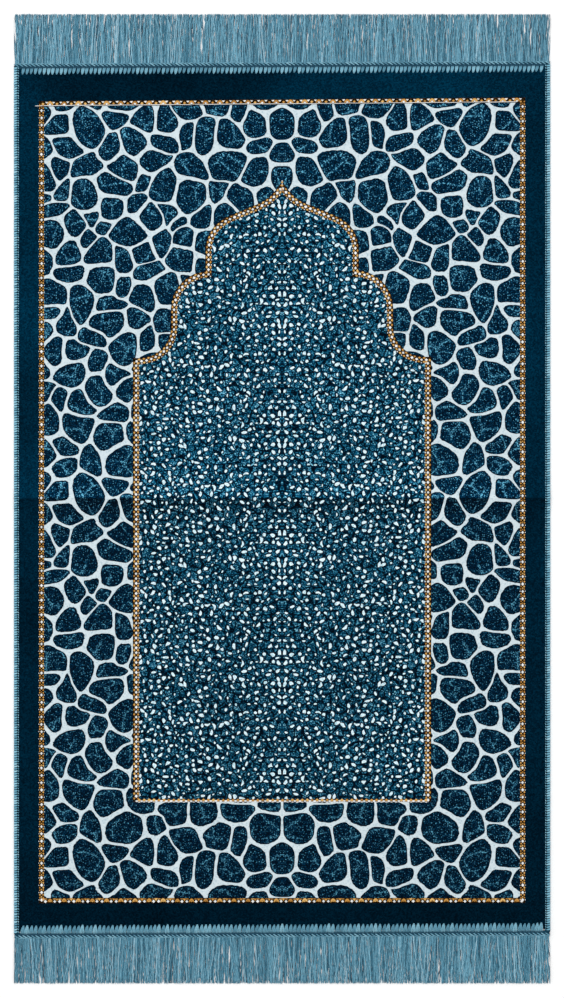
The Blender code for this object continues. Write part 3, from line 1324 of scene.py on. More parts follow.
class WovenPlan:
    """Collects the outlines of the design and cuts the cloth into triangles along them."""

    NEAR = 0.02

    def __init__(self) -> None:
        """Starts an empty plan."""
        self.points: list[np.ndarray] = []
        self.size = 0
        self.rings: list[list[int]] = []
        self.tags: list[Tag] = []

    def add(self, ring: np.ndarray, tag: Tag) -> range:
        """Adds one closed outline.

        Args:
            ring: Its corners, in millimetres.
            tag: What it encloses.

        Returns:
            The numbers of its points in the plan.
        """
        placed = self.scatter(ring if signed_area(ring) > 0 else ring[::-1])
        self.rings.append(list(placed))
        self.tags.append(tag)
        return placed

    def scatter(self, points: np.ndarray) -> range:
        """Adds points that belong to no outline.

        Args:
            points: Rows of x and y.

        Returns:
            The points' numbers in the plan.
        """
        self.points.append(points)
        self.size += len(points)
        return range(self.size - len(points), self.size)

    def cut(self) -> tuple[np.ndarray, np.ndarray, np.ndarray, dict[int, int]]:
        """Cuts the plan into triangles.

        Returns:
            Points, triangles, the tags of each triangle, and the new number of each given point.
        """
        given = [Vector(p) for p in np.concatenate(self.points)]
        points, _, faces, old_points, _, _ = delaunay_2d_cdt(
            given, [], self.rings, 1, self.NEAR, True
        )
        flat, corners = np.array([p[:] for p in points]), np.array(faces)
        tags = self.enclosing(flat[corners].mean(axis=1))
        number = {old: new for new, olds in enumerate(old_points) for old in olds}
        kept = (tags & Tag.CLOTH) > 0
        return flat, corners[kept], tags[kept], number

    def enclosing(self, places: np.ndarray) -> np.ndarray:
        """Finds what encloses each of many places.

        Args:
            places: Rows of x and y.

        Returns:
            For each place, the tags of all outlines round it, added up.
        """
        order = np.argsort(places[:, 1])
        x, y = places[order, 0], places[order, 1]
        given = np.concatenate(self.points)
        found = np.zeros(len(places), np.int32)
        for ring, tag in zip(self.rings, self.tags):
            outline = given[ring]
            low, high = outline.min(axis=0), outline.max(axis=0)
            first, last = np.searchsorted(y, (low[1], high[1]))
            near = first + np.nonzero((x[first:last] > low[0]) & (x[first:last] < high[0]))[0]
            if len(near):
                hit = near[inside(np.column_stack([x[near], y[near]]), outline)]
                found[order[hit]] |= int(tag)
        return found


def zone_of(tag: Tag) -> Zone:
    """The pile at a place.

    Args:
        tag: The tags of all outlines that enclose the place.

    Returns:
        The zone.
    """
    if not tag & Tag.OUTER_CHAIN:
        return Zone.BORDER
    if tag & Tag.ARCH_FIELD:
        if tag & Tag.SPOT:
            return Zone.SPOT
        return Zone.OUTLINE if tag & Tag.OUTLINE else Zone.FIELD
    if not tag & Tag.LATTICE or tag & Tag.ARCH_CHAIN:
        return Zone.CHAIN
    if tag & Tag.CELL:
        return Zone.CELL if tag & Tag.CELL_CORE else Zone.CELL_RIM
    return Zone.LATTICE


# ---- The pile cloth ----


@dataclass
class PileCloth:
    """The woven cloth itself: one closed sheet whose top is cut along the design."""

    surface: RugSurface
    arch: MihrabArch = MihrabArch()
    chain: ChainFrame = ChainFrame()
    cells: CellLattice = CellLattice()
    spots: SpottedField = SpottedField()
    edge_step: float = 6.0
    line_step: float = 9.0
    plain_step: float = 11.0
    fold_step: float = 5.0
    back_step: float = 16.0
    row_share: float = 0.87
    plain_margin: float = 5.0
    fold_margin: float = 3.0
    back_margin: float = 8.0
    map_fit: tuple[float, float] = (0.99, 0.985)
    map_top: tuple[float, float] = (0.01, 0.80)
    map_back: tuple[float, float] = (0.83, 0.14)
    map_wall: tuple[float, float] = (0.98, 0.015)

    def outline(self) -> np.ndarray:
        """The cloth's edge, in millimetres."""
        x, y = self.surface.half_width / MM, self.surface.half_length / MM
        return densify(np.array([[-x, -y], [x, -y], [x, y], [-x, y]]), self.edge_step)

    def loose_points(self, step: float, half_length: float) -> np.ndarray:
        """Rows of points, each row shifted by half a step, inside the cloth's edge.

        Args:
            step: Distance between points, in millimetres.
            half_length: Half the length that the rows cover, in millimetres.

        Returns:
            Rows of x and y.
        """
        half_width = self.surface.half_width / MM
        x = np.arange(-half_width + step, half_width - step / 2, step)
        y = np.arange(-half_length, half_length, step * self.row_share)
        odd = (np.arange(len(y)) % 2 - 0.5) * step / 2
        return np.column_stack([(x[None, :] + odd[:, None]).ravel(), np.repeat(y, len(x))])

    def plan_top(self) -> tuple[WovenPlan, range]:
        """Draws the whole design.

        Returns:
            The plan, and the numbers of the edge's points in it.
        """
        plan = WovenPlan()
        edge = plan.add(self.outline(), Tag.CLOTH)
        half_frame, half_arch = self.chain.chain / 2, self.arch.chain / 2
        arch_inner = self.arch.ring(half_arch)
        for line, tag in (
            (self.chain.ring(half_frame), Tag.OUTER_CHAIN),
            (self.chain.ring(-half_frame), Tag.LATTICE),
            (self.arch.ring(-half_arch), Tag.ARCH_CHAIN),
            (arch_inner, Tag.ARCH_FIELD),
        ):
            plan.add(densify(line, self.line_step), tag)
        cells = self.cells.outlines(self.chain, arch_inner)
        for ring, tag in cells + self.spots.outlines(arch_inner):
            plan.add(ring, tag)
        plain_reach = self.surface.half_length / MM - self.plain_margin
        fold_reach = self.surface.crease_reach / MM + self.fold_margin
        for step, reach in ((self.plain_step, plain_reach), (self.fold_step, fold_reach)):
            loose = self.loose_points(step, reach)
            plan.scatter(loose[~inside(loose, arch_inner)])
        return plan, edge

    def build(self) -> Thing:
        """Builds the sheet.

        Returns:
            The finished mesh object with one material slot for each zone.
        """
        plan, edge = self.plan_top()
        points, faces, tags, number = plan.cut()
        log.info("woven design: %d outlines, %d triangles", len(plan.rings), len(faces))
        named = {tag: zone_of(Tag(tag)) for tag in np.unique(tags).tolist()}
        zones = np.array([named[tag] for tag in tags.tolist()])
        top = self.relief(points * MM, faces, zones)

        back_plan = WovenPlan()
        back_edge = back_plan.add(self.outline(), Tag.CLOTH)
        back_reach = self.surface.half_length / MM - self.back_margin
        back_plan.scatter(self.loose_points(self.back_step, back_reach))
        back_points, back_faces, _, back_number = back_plan.cut()
        flat = back_points * MM
        back = np.column_stack([flat, self.surface.underside(flat[:, 0], flat[:, 1])])

        above = np.array([number[i] for i in edge])
        below = np.array([back_number[i] for i in back_edge]) + len(top)
        walls = np.stack([below, np.roll(below, -1), np.roll(above, -1), above], axis=1).tolist()
        under = (back_faces[:, ::-1] + len(top)).tolist()
        laid = np.concatenate([top, back])
        laid[:, 1] = self.surface.weft(laid[:, 0], laid[:, 1])
        cloth = mesh_object("woven_pile_cloth", laid, faces.tolist() + under + walls)
        rest = [Zone.BACK] * len(under) + [Zone.BORDER] * len(walls)
        cloth.data.polygons.foreach_set("material_index", [*zones.tolist(), *map(int, rest)])
        for zone in Zone:
            cloth.data.materials.append(ZONES[zone].finish.material())
        self.unwrap(cloth.data, len(faces), len(under))
        cloth.data.update()
        return cloth

    def relief(self, flat: np.ndarray, corners: np.ndarray, zones: np.ndarray) -> np.ndarray:
        """Gives the top its heights: the lie of the rug, and each zone's own pile height.

        Args:
            flat: Points of the top, in metres.
            corners: Vertex numbers of each triangle.
            zones: Zone of each triangle.

        Returns:
            Rows of x, y and z.
        """
        lift = np.array([ZONES[zone].relief * MM for zone in Zone])[zones]
        total = np.bincount(corners.ravel(), np.repeat(lift, 3), len(flat))
        share = np.bincount(corners.ravel(), minlength=len(flat))
        height = self.surface.top(flat[:, 0], flat[:, 1]) + total / np.maximum(share, 1)
        return np.column_stack([flat, height])

    def unwrap(self, mesh: bpy.types.Mesh, top_count: int, back_count: int) -> None:
        """Gives the cloth its own UV map: the top on most of the square, the back beside it.

        Each part of the map starts at its first number and is as wide as its second.

        Args:
            mesh: The cloth's mesh.
            top_count: Number of faces on top, which come first.
            back_count: Number of faces on the back, which come next.
        """
        layer = mesh.uv_layers.new(name="OFBake")
        vertex = np.zeros(len(mesh.loops), np.int32)
        mesh.loops.foreach_get("vertex_index", vertex)
        place = coordinates(mesh)[vertex]
        u = 0.5 + place[:, 0] / (2 * self.surface.half_width) * self.map_fit[0]
        v = 0.5 + place[:, 1] / (2 * self.surface.half_length) * self.map_fit[1]
        back, wall = 3 * top_count, 3 * (top_count + back_count)
        uv = np.column_stack([self.map_top[0] + self.map_top[1] * u, v])
        uv[back:wall, 0] = self.map_back[0] + self.map_back[1] * u[back:wall]
        high = place[wall:, 2] > 2 * MM
        uv[wall:, 0] = self.map_wall[0] + self.map_wall[1] * high
        layer.data.foreach_set("uv", uv.ravel())


# ---- Things set out along a line, by Geometry Nodes ----


def open_tree(name: str, **sizes: Sequence[str]) -> tuple[Tree, Any]:
    """Starts a geometry tree.

    Args:
        name: Name of the tree.
        **sizes: Names of its own inputs, by the type of their sockets.

    Returns:
        The tree, and the sockets that give its inputs.
    """
    tree = bpy.data.node_groups.new(name, "GeometryNodeTree")
    for way in ("INPUT", "OUTPUT"):
        tree.interface.new_socket("Geometry", in_out=way, socket_type="NodeSocketGeometry")
    for kind, labels in (*sizes.items(), ("Int", ("Seed",)), ("Material", ("Material",))):
        for label in labels:
            tree.interface.new_socket(label, in_out="INPUT", socket_type=f"NodeSocket{kind}")
    return tree, add_node(tree, "NodeGroupInput").node.outputs


def hand_out(tree: Tree, given: Any, made: Socket) -> None:
    """Makes everything real, dresses it and hands it out of the tree.

    Args:
        tree: The geometry tree.
        given: The sockets of its inputs.
        made: Socket of the geometry.
    """
    real = add_node(tree, REALIZE, made)
    dressed = add_node(tree, "GeometryNodeSetMaterial", real, Material=given["Material"])
    add_node(tree, "NodeGroupOutput", dressed)


def row_tree() -> Tree:
    """Builds the tree that sets out copies of one small part along a path.

    Returns:
        A tree whose named inputs are the path's geometry, the part and the sizes of the row.
    """
    numbers = ("Pitch", "Phase", "Aside", "Height", "Size Spread", "Turn Spread", "Place Spread")
    tree, given = open_tree("set_out_along_path", Object=("Part",), Int=("Count",), Float=numbers)
    add = partial(add_node, tree)
    index = add(INDEX)
    path = add("GeometryNodeMeshToCurve", given["Geometry"])
    step = add(MATH, index, given["Phase"], operation="ADD")
    along = add(MATH, step, given["Pitch"], operation="MULTIPLY")
    sample = add("GeometryNodeSampleCurve", Curves=path, Length=along, mode="LENGTH").node.outputs
    side = add(VECTOR, UP, sample["Tangent"], operation="CROSS_PRODUCT")
    aside = add(VECTOR, side, Scale=given["Aside"], operation="SCALE")
    draw = {"ID": index, "Seed": given["Seed"]}
    low, high = (-1.0, -1.0, -0.3), (1.0, 1.0, 0.3)
    jitter = add(RANDOM, low, high, **draw, data_type="FLOAT_VECTOR")
    loose = add(VECTOR, jitter, Scale=given["Place Spread"], operation="SCALE")
    shift = add(VECTOR, aside, loose, operation="ADD")
    offset = add(VECTOR, shift, add(TOGETHER, Z=given["Height"]), operation="ADD")
    points = add("GeometryNodePoints", given["Count"])
    placed = add(PLACE, points, Position=sample["Position"], Offset=offset)
    to_path = {"Vector": sample["Tangent"], "axis": "X", "pivot_axis": "Z"}
    aligned = add("FunctionNodeAlignRotationToVector", **to_path)
    least = add(MATH, given["Turn Spread"], -1.0, operation="MULTIPLY")
    turn = add(RANDOM, None, None, least, given["Turn Spread"], **draw, out=1)
    spin = add("FunctionNodeAxisAngleToRotation", UP, turn)
    turned = add("FunctionNodeRotateRotation", aligned, spin, rotation_space="LOCAL")
    small, large = (
        add(MATH, 1.0, given["Size Spread"], operation=way) for way in ("SUBTRACT", "ADD")
    )
    size = add(RANDOM, None, None, small, large, **draw, out=1)
    part = add("GeometryNodeObjectInfo", given["Part"], out="Geometry")
    copies = add(COPIES, placed, Instance=part, Rotation=turned, Scale=size)
    shade = add(RANDOM, **draw, out=1)
    hand_out(tree, given, add(STORE, copies, Name=SHADE, Value=shade, domain="INSTANCE"))
    return tree


def yarn_tree() -> Tree:
    """Builds the tree that lays loose yarns side by side, from a heading to the floor.

    Returns:
        A tree whose named inputs are the sizes of the fringe. Its yarns run towards +Y.
    """
    numbers = (
        "Width", "Length", "Length Spread", "Lean", "Sway", "Thickness", "Root Height",
        "Tip Height", "Layers",
    )
    tree, given = open_tree("loose_yarns", Int=("Count", "Segments"), Float=numbers)
    add = partial(add_node, tree)
    index = add(INDEX)
    spans = {
        "slot": (0.1, 0.9), "layer": (0.0, 1.0), "length": (-1.0, 1.0), "lean": (-1.0, 1.0),
        "shade": (0.0, 1.0),
    }
    drawn = {}
    for salt, (name, span) in enumerate(spans.items(), 1):
        seed = add(MATH, given["Seed"], salt, operation="ADD")
        drawn[name] = add(RANDOM, None, None, *span, ID=index, Seed=seed, out=1)
    pitch = add(MATH, given["Width"], given["Count"], operation="DIVIDE")
    slot = add(MATH, index, drawn["slot"], operation="ADD")
    half = add(MATH, given["Width"], -0.5, operation="MULTIPLY")
    x = add(MATH, slot, pitch, half, operation="MULTIPLY_ADD")
    layer = add(MATH, given["Layers"], drawn["layer"], operation="MULTIPLY")
    points = add("GeometryNodePoints", given["Count"], add(TOGETHER, X=x, Z=layer))
    line = add("GeometryNodeCurvePrimitiveLine", End=(0.0, 1.0, 0.0))
    fine = add("GeometryNodeResampleCurve", line, Count=given["Segments"])
    uneven = (given["Length Spread"], drawn["length"], given["Length"])
    length = add(MATH, *uneven, operation="MULTIPLY_ADD")
    scale = add(TOGETHER, 1.0, length, 1.0)
    lean = add(MATH, given["Lean"], drawn["lean"], operation="MULTIPLY")
    turned = add("FunctionNodeAxisAngleToRotation", UP, lean)
    copies = add(COPIES, points, Instance=fine, Rotation=turned, Scale=scale)
    # Painted shade: each yarn's shade mixes a random tone with its layer, so yarns lower in the
    # layers are painted darker, as shade under the yarns above.
    both = add(MATH, drawn["shade"], drawn["layer"], operation="ADD")
    shade = add(MATH, both, 0.5, operation="MULTIPLY")
    curves = add(REALIZE, add(STORE, copies, Name=SHADE, Value=shade, domain="INSTANCE"))

    sway_power, sway_width, fall_end, taper_start, tip_size = 0.7, 2.0, 0.30, 0.9, 0.55
    along = add("GeometryNodeSplineParameter", out="Factor")
    spot = add("GeometryNodeInputPosition")
    waves_per_metre = (800.0, 70.0, 1800.0)
    drawn_out = add(VECTOR, spot, waves_per_metre, operation="MULTIPLY")
    wind = add(NOISE, drawn_out, Scale=1.0, Detail=1.0, out="Color")
    centred = add(VECTOR, wind, MID_GREY, operation="SUBTRACT")
    later = add(MATH, along, sway_power, operation="POWER")
    reach = add(MATH, given["Sway"], later, operation="MULTIPLY")
    swayed = add(VECTOR, centred, Scale=reach, operation="SCALE")
    heights = {"To_Min": given["Root Height"], "To_Max": given["Tip Height"]}
    fall = add(RANGE, along, From_Max=fall_end, **heights, interpolation_type="SMOOTHSTEP")
    lowered = add(TOGETHER, Z=fall)
    offset = add(VECTOR, swayed, (sway_width, 0.0, 0.0), lowered, operation="MULTIPLY_ADD")
    hung = add(PLACE, curves, Offset=offset)
    profile = add("GeometryNodeCurvePrimitiveCircle", Resolution=3, Radius=given["Thickness"])
    taper = add(RANGE, along, From_Min=taper_start, To_Min=1.0, To_Max=tip_size)
    skin = {"Curve": hung, "Profile_Curve": profile, "Scale": taper, "Fill_Caps": True}
    hand_out(tree, given, add("GeometryNodeCurveToMesh", **skin))
    return tree


def run_tree(name: str, tree: Tree, path: np.ndarray, values: dict[str, Any]) -> Thing:
    """Runs a geometry tree on a path and keeps the result as a plain mesh.

    Args:
        name: Name of the result.
        tree: The tree.
        path: Points of the open path, rows of x and y in metres.
        values: The tree's inputs by name.

    Returns:
        A plain mesh object with no modifier.
    """
    edges = [(i, i + 1) for i in range(len(path) - 1)]
    carrier = mesh_object(f"{name}_path", [(x, y, 0.0) for x, y in path], [], edges)
    modifier = carrier.modifiers.new("rows", "NODES")
    modifier.node_group = tree
    for item in tree.interface.items_tree:
        if item.in_out == "INPUT" and item.name in values:
            modifier[item.identifier] = values[item.name]
    carrier.update_tag()
    bpy.context.view_layer.update()
    evaluated = carrier.evaluated_get(bpy.context.evaluated_depsgraph_get())
    made = bpy.data.meshes.new_from_object(evaluated)
    made.name = name
    bpy.data.objects.remove(carrier)
    made.shade_smooth()
    return in_scene(name, made)


@dataclass(frozen=True)
class Row:
    """How the copies of one part stand along a path: turns in radians, the rest in millimetres."""

    count: int
    pitch: float
    size_spread: float
    turn_spread: float
    place_spread: float
    seed: int
    phase: float = 0.5
    aside: float = 0.0
    height: float = 0.0

    def set_out(
        self, name: str, tree: Tree, part: Thing, path: np.ndarray, finish: bpy.types.Material
    ) -> Thing:
        """Sets out the part along an open path.

        Args:
            name: Name of the row.
            tree: The tree that sets parts out.
            part: The part, which is used up.
            path: Points of the path, rows of x and y.
            finish: The part's material.

        Returns:
            The row as a plain mesh object.
        """
        lengths = ("pitch", "aside", "height", "place_spread")
        values: dict[str, Any] = {"Part": part, "Material": finish}
        for size, value in vars(self).items():
            label = size.replace("_", " ").title()
            values[label] = value * MM if size in lengths else value
        row = run_tree(name, tree, path * MM, values)
        bpy.data.objects.remove(part)
        return row


# ---- Bead chains ----


class BeadShape(Enum):
    """Outline of one woven bead, as shares of its length and breadth."""

    DIAMOND = ((0.5, 0.0), (0.0, 0.5), (-0.5, 0.0), (0.0, -0.5))
    OVAL = ((0.5, 0.0), (0.25, 0.43), (-0.25, 0.43), (-0.5, 0.0), (-0.25, -0.43), (0.25, -0.43))
    TRIANGLE = ((0.5, 0.5), (-0.5, 0.5), (0.0, -0.5))
    STRIP = ((0.5, -0.5), (0.5, 0.5), (-0.5, 0.5), (-0.5, -0.5))
    HOOP = (
        (0.5, -0.5), (0.42, 0.1), (0.15, 0.5), (-0.15, 0.5), (-0.42, 0.1), (-0.5, -0.5),
        (-0.2, -0.3), (-0.1, 0.0), (0.1, 0.0), (0.2, -0.3),
    )

    def part(self, length: float, breadth: float, height: float) -> Thing:
        """Makes one bead: a low cushion of yarn, sunk a little into the cloth.

        Args:
            length: Size along the chain, in millimetres.
            breadth: Size across the chain.
            height: How far it stands out of the pile.

        Returns:
            The bead's object.
        """
        outline = np.array(self.value) * np.array([length, breadth])
        middle = outline.mean(axis=0)
        levels = ((1.0, -0.25), (1.0, 0.45 * height), (0.55, height))  # share of outline, height
        rings = [
            np.column_stack([middle + (outline - middle) * share, np.full(len(outline), z)])
            for share, z in levels
        ]
        return solid_part("bead", [tube(np.array(rings) * MM)])


@dataclass(frozen=True)
class Bead:
    """One row of equal beads along a chain, in millimetres. Its phase is in pitches."""

    finish: ThreadFinish
    shape: BeadShape
    length: float
    breadth: float
    phase: float
    aside: float = 0.0
    height: float = 0.5


GOLD_DIAMOND, WHITE_DIAMOND, GOLD_OVAL, WHITE_OVAL, GOLD_TRIANGLE, WHITE_TRIANGLE = (
    partial(Bead, finish, shape)
    for shape in (BeadShape.DIAMOND, BeadShape.OVAL, BeadShape.TRIANGLE)
    for finish in (GOLD_YARN, WHITE_YARN)
)
GOLD_HOOP = partial(Bead, GOLD_YARN, BeadShape.HOOP)
WHITE_STRIP = partial(Bead, WHITE_YARN, BeadShape.STRIP)


@dataclass
class BeadChain:
    """Woven chains of white and gold beads on a dark ground.

    The columns of each table are a bead's length, breadth, phase, place aside and height.
    """

    surface: RugSurface
    arch: MihrabArch
    frame: ChainFrame
    tree: Tree
    arch_pitch: float = 6.1
    side_pitch: float = 9.0
    end_pitch: float = 17.4
    finial_pitch: float = 4.0
    finial: tuple[float, float] = (1.2, 9.2)
    path_step: float = 3.0
    first_phase: float = 0.1
    size_spread: float = 0.10
    turn_spread: float = 0.12
    turn_length: float = 4.0
    place_spread: float = 0.18
    materials: dict[str, bpy.types.Material] = field(default_factory=dict)

    arch_beads: tuple[Bead, ...] = (
        WHITE_DIAMOND(4.2, 3.7, 0.0),
        GOLD_DIAMOND(4.0, 2.7, 0.5, 2.3),
        GOLD_DIAMOND(4.0, 2.7, 0.5, -2.3),
        WHITE_OVAL(2.0, 1.3, 0.0, 3.6, 0.3),
    )
    foot_beads: tuple[Bead, ...] = (
        GOLD_DIAMOND(4.4, 3.8, 0.5, 0.5),
        WHITE_OVAL(3.9, 2.6, 0.0, -0.7, 0.6),
        WHITE_OVAL(3.6, 1.2, 0.5, -1.9, 0.6),
    )
    side_beads: tuple[Bead, ...] = (
        WHITE_DIAMOND(4.3, 3.5, 0.0),
        GOLD_DIAMOND(2.8, 2.1, 0.31, 2.1),
        GOLD_DIAMOND(2.8, 2.1, 0.31, -2.1),
        GOLD_DIAMOND(2.2, 1.8, 0.42, 0.0, 0.4),
        GOLD_DIAMOND(3.0, 2.2, 0.68, 2.0),
        GOLD_DIAMOND(3.0, 2.2, 0.68, -2.0),
        WHITE_OVAL(1.5, 1.0, 0.0, 3.2, 0.3),
        WHITE_OVAL(1.5, 1.0, 0.0, -3.2, 0.3),
    )
    head_beads: tuple[Bead, ...] = (
        WHITE_STRIP(17.6, 0.7, 0.0, -2.2, 0.3),
        WHITE_TRIANGLE(4.0, 2.2, 0.25, 1.2, 0.4),
        WHITE_TRIANGLE(4.0, 2.2, 0.75, 1.2, 0.4),
        GOLD_DIAMOND(3.9, 3.3, 0.0, -0.3),
        GOLD_HOOP(7.8, 4.8, 0.5, 0.2),
        WHITE_DIAMOND(3.8, 2.8, 0.5, -0.9, 0.7),
    )
    end_beads: tuple[Bead, ...] = (
        WHITE_DIAMOND(4.0, 3.6, 0.175, -0.9),
        WHITE_DIAMOND(4.0, 3.6, 0.825, -0.9),
        GOLD_HOOP(6.6, 4.6, 0.5, 0.3),
        GOLD_DIAMOND(3.0, 2.0, 0.5, -0.6, 0.6),
        GOLD_TRIANGLE(4.2, 3.4, 0.0, 1.0),
        GOLD_OVAL(4.4, 1.2, 0.2, 1.9, 0.4),
        GOLD_OVAL(4.4, 1.2, 0.8, 1.9, 0.4),
    )
    finial_beads: tuple[Bead, ...] = (
        GOLD_DIAMOND(2.6, 3.0, 0.0),
        WHITE_OVAL(1.6, 2.0, 0.45, 0.0, 0.6),
    )

    def rows(
        self, name: str, path: Sequence[Sequence[float]], pitch: float, beads: Sequence[Bead]
    ) -> list[Thing]:
        """Sets out the bead rows of one stretch of chain.

        Args:
            name: Name for the stretch.
            path: Its centre line, in millimetres.
            pitch: Distance over which the chain repeats, made to fit the line's length.
            beads: The rows.

        Returns:
            One object for each row.
        """
        corners = np.array(path, float)
        total = float(np.linalg.norm(np.diff(corners, axis=0), axis=1).sum())
        count = max(1, round(total / pitch))
        line = densify(corners, self.path_step, closed=False)
        made = []
        for number, bead in enumerate(beads):
            if bead.finish.name not in self.materials:
                self.materials[bead.finish.name] = bead.finish.material()
            row = Row(
                count,
                total / count,
                self.size_spread,
                self.turn_spread * min(1.0, self.turn_length / bead.length),
                self.place_spread,
                number,
                bead.phase + self.first_phase,
                bead.aside,
            )
            part = bead.shape.part(bead.length, bead.breadth, bead.height)
            finish = self.materials[bead.finish.name]
            made.append(row.set_out(f"{name}_{number}", self.tree, part, line, finish))
        return made

    def build(self) -> list[Thing]:
        """Builds the chain along the arch and the one round the lattice.

        Returns:
            The arch's chain and the frame's.
        """
        half = self.arch.half()
        over = np.concatenate([half[::-1], half[1:] * MIRROR])
        under = (half[-1] * MIRROR, half[-1])
        tip = [(0.0, self.arch.tip + above) for above in self.finial]
        inner = self.rows("arch", over, self.arch_pitch, self.arch_beads)
        inner += self.rows("arch_foot", under, self.arch_pitch, self.foot_beads)
        inner += self.rows("arch_finial", tip, self.finial_pitch, self.finial_beads)
        x, head, foot = self.frame.side, self.frame.head, self.frame.foot
        outer = []
        for side in (-x, x):
            path = ((side, foot), (side, head))
            outer += self.rows("side", path, self.side_pitch, self.side_beads)
        for y, beads in ((head, self.head_beads), (foot, self.end_beads)):
            outer += self.rows("end", ((-x, y), (x, y)), self.end_pitch, beads)
        chains = [join("bead_chain_arch", inner), join("bead_chain_frame", outer)]
        for chain in chains:
            self.surface.lay(chain)
        return chains


# ---- Edges ----


def swept_bar(name: str, rings: list, finish: bpy.types.Material) -> Thing:
    """Makes a closed bar through a row of equal rings, and dresses it.

    Args:
        name: Name of the bar.
        rings: Points by ring, corner and axis, in millimetres.
        finish: The bar's material.

    Returns:
        The bar's object.
    """
    bar = solid_part(name, [tube(np.array(rings) * MM)])
    bar.data.materials.append(finish)
    return bar


@dataclass
class SideSerging:
    """Overlocked side: thread wrapped over the cloth's edge, with a row of small loops inside."""

    surface: RugSurface
    tree: Tree
    thread: bpy.types.Material
    shaded: bpy.types.Material
    half_length: float = 534.6
    end_gap: float = 1.2
    pitch: float = 3.02
    middle: float = 326.5
    loop_line: float = 324.45
    place_spread: float = 0.12
    core_rings: int = 97
    section: tuple[tuple[float, float], ...] = (
        (323.6, 2.75), (325.4, 2.4), (326.6, 2.7), (328.2, 3.2), (329.8, 2.6), (330.2, 1.4),
        (328.8, 0.3), (325.0, 0.25), (323.6, 0.3), (323.4, 1.5),
    )

    def core(self, sign: float) -> Thing:
        """The rounded edge under the wraps, 1 for the right side and -1 for the left.

        Args:
            sign: Side of the rug.

        Returns:
            The bar along that side.
        """
        along = np.linspace(-self.half_length, self.half_length, self.core_rings)
        rings = [[(sign * x, y, z) for x, z in self.section] for y in along]
        # Painted shade: the core is dark, as shade between the wraps.
        return swept_bar("serging_core", rings, self.shaded)

    def wrap_part(self) -> Thing:
        """One wrap of thread, from the inner loops over the edge and under it.

        The path along the side runs to +Y, so the part's +Y is the rug's -X: outward is -Y on the
        right side.

        Returns:
            The part to copy.
        """
        path = (
            (-0.5, 325.6, 2.7), (-0.4, 326.1, 3.6), (-0.1, 326.8, 4.15), (0.1, 327.7, 4.1),
            (0.2, 328.6, 3.6), (0.3, 329.5, 2.7), (0.3, 329.7, 1.6), (0.2, 329.2, 0.8),
        )
        points = [(x, self.middle - y, z) for x, y, z in path]
        radii = (0.5, 0.9, 1.12, 1.12, 1.25, 1.4, 1.4, 1.1)
        return solid_part("serging_wrap", [strand(points, radii, 6, 0.6, across=(1.0, 0.0, 0.0))])

    def loop_part(self) -> Thing:
        """One small loop of the inner row."""
        path = ((-0.75, 0.1, 2.9), (-0.35, -0.1, 3.8), (0.35, -0.1, 3.8), (0.75, 0.15, 2.9))
        return solid_part("serging_loop", [strand(path, (0.4, 0.56, 0.56, 0.4), 5, 0.9)])

    def build(self, sign: float) -> Thing:
        """Builds one side.

        Args:
            sign: 1 for the right side and -1 for the left.

        Returns:
            The finished piece.
        """
        name = "serging_thread_right" if sign > 0 else "serging_thread_left"
        count = int(2 * (self.half_length - self.end_gap) / self.pitch)
        reach = sign * count * self.pitch / 2
        pieces = [self.core(sign)]
        parts = (
            (self.wrap_part(), self.middle, 0.03, 0.03, 1),
            (self.loop_part(), self.loop_line, 0.10, 0.25, 2),
        )
        for part, x, size, turn, salt in parts:
            path = np.array([[sign * x, -reach], [sign * x, reach]])
            seed = salt + (0 if sign > 0 else 10)
            row = Row(count, self.pitch, size, turn, self.place_spread, seed)
            pieces.append(row.set_out(f"{name}_{salt}", self.tree, part, path, self.thread))
        side = join(name, pieces)
        self.surface.lay(side, on_top=False)
        return side


@dataclass(frozen=True)
class StitchPlan:
    """Where one end's stitches lie and how large they are, in millimetres.

    The breadth of a peg is a share of the stitches' pitch, and seed starts the random draws.
    """

    peg_root: float
    chain_line: float
    peg_length: float
    peg_breadth: float
    stitch_seed: int
    yarn_seed: int


class End(Enum):
    """The rug's two ends, with their stitches."""

    HEAD = StitchPlan(530.8, 534.9, 7.0, 0.25, 0, 3)
    FOOT = StitchPlan(533.6, 537.3, 9.8, 0.34, 20, 4)


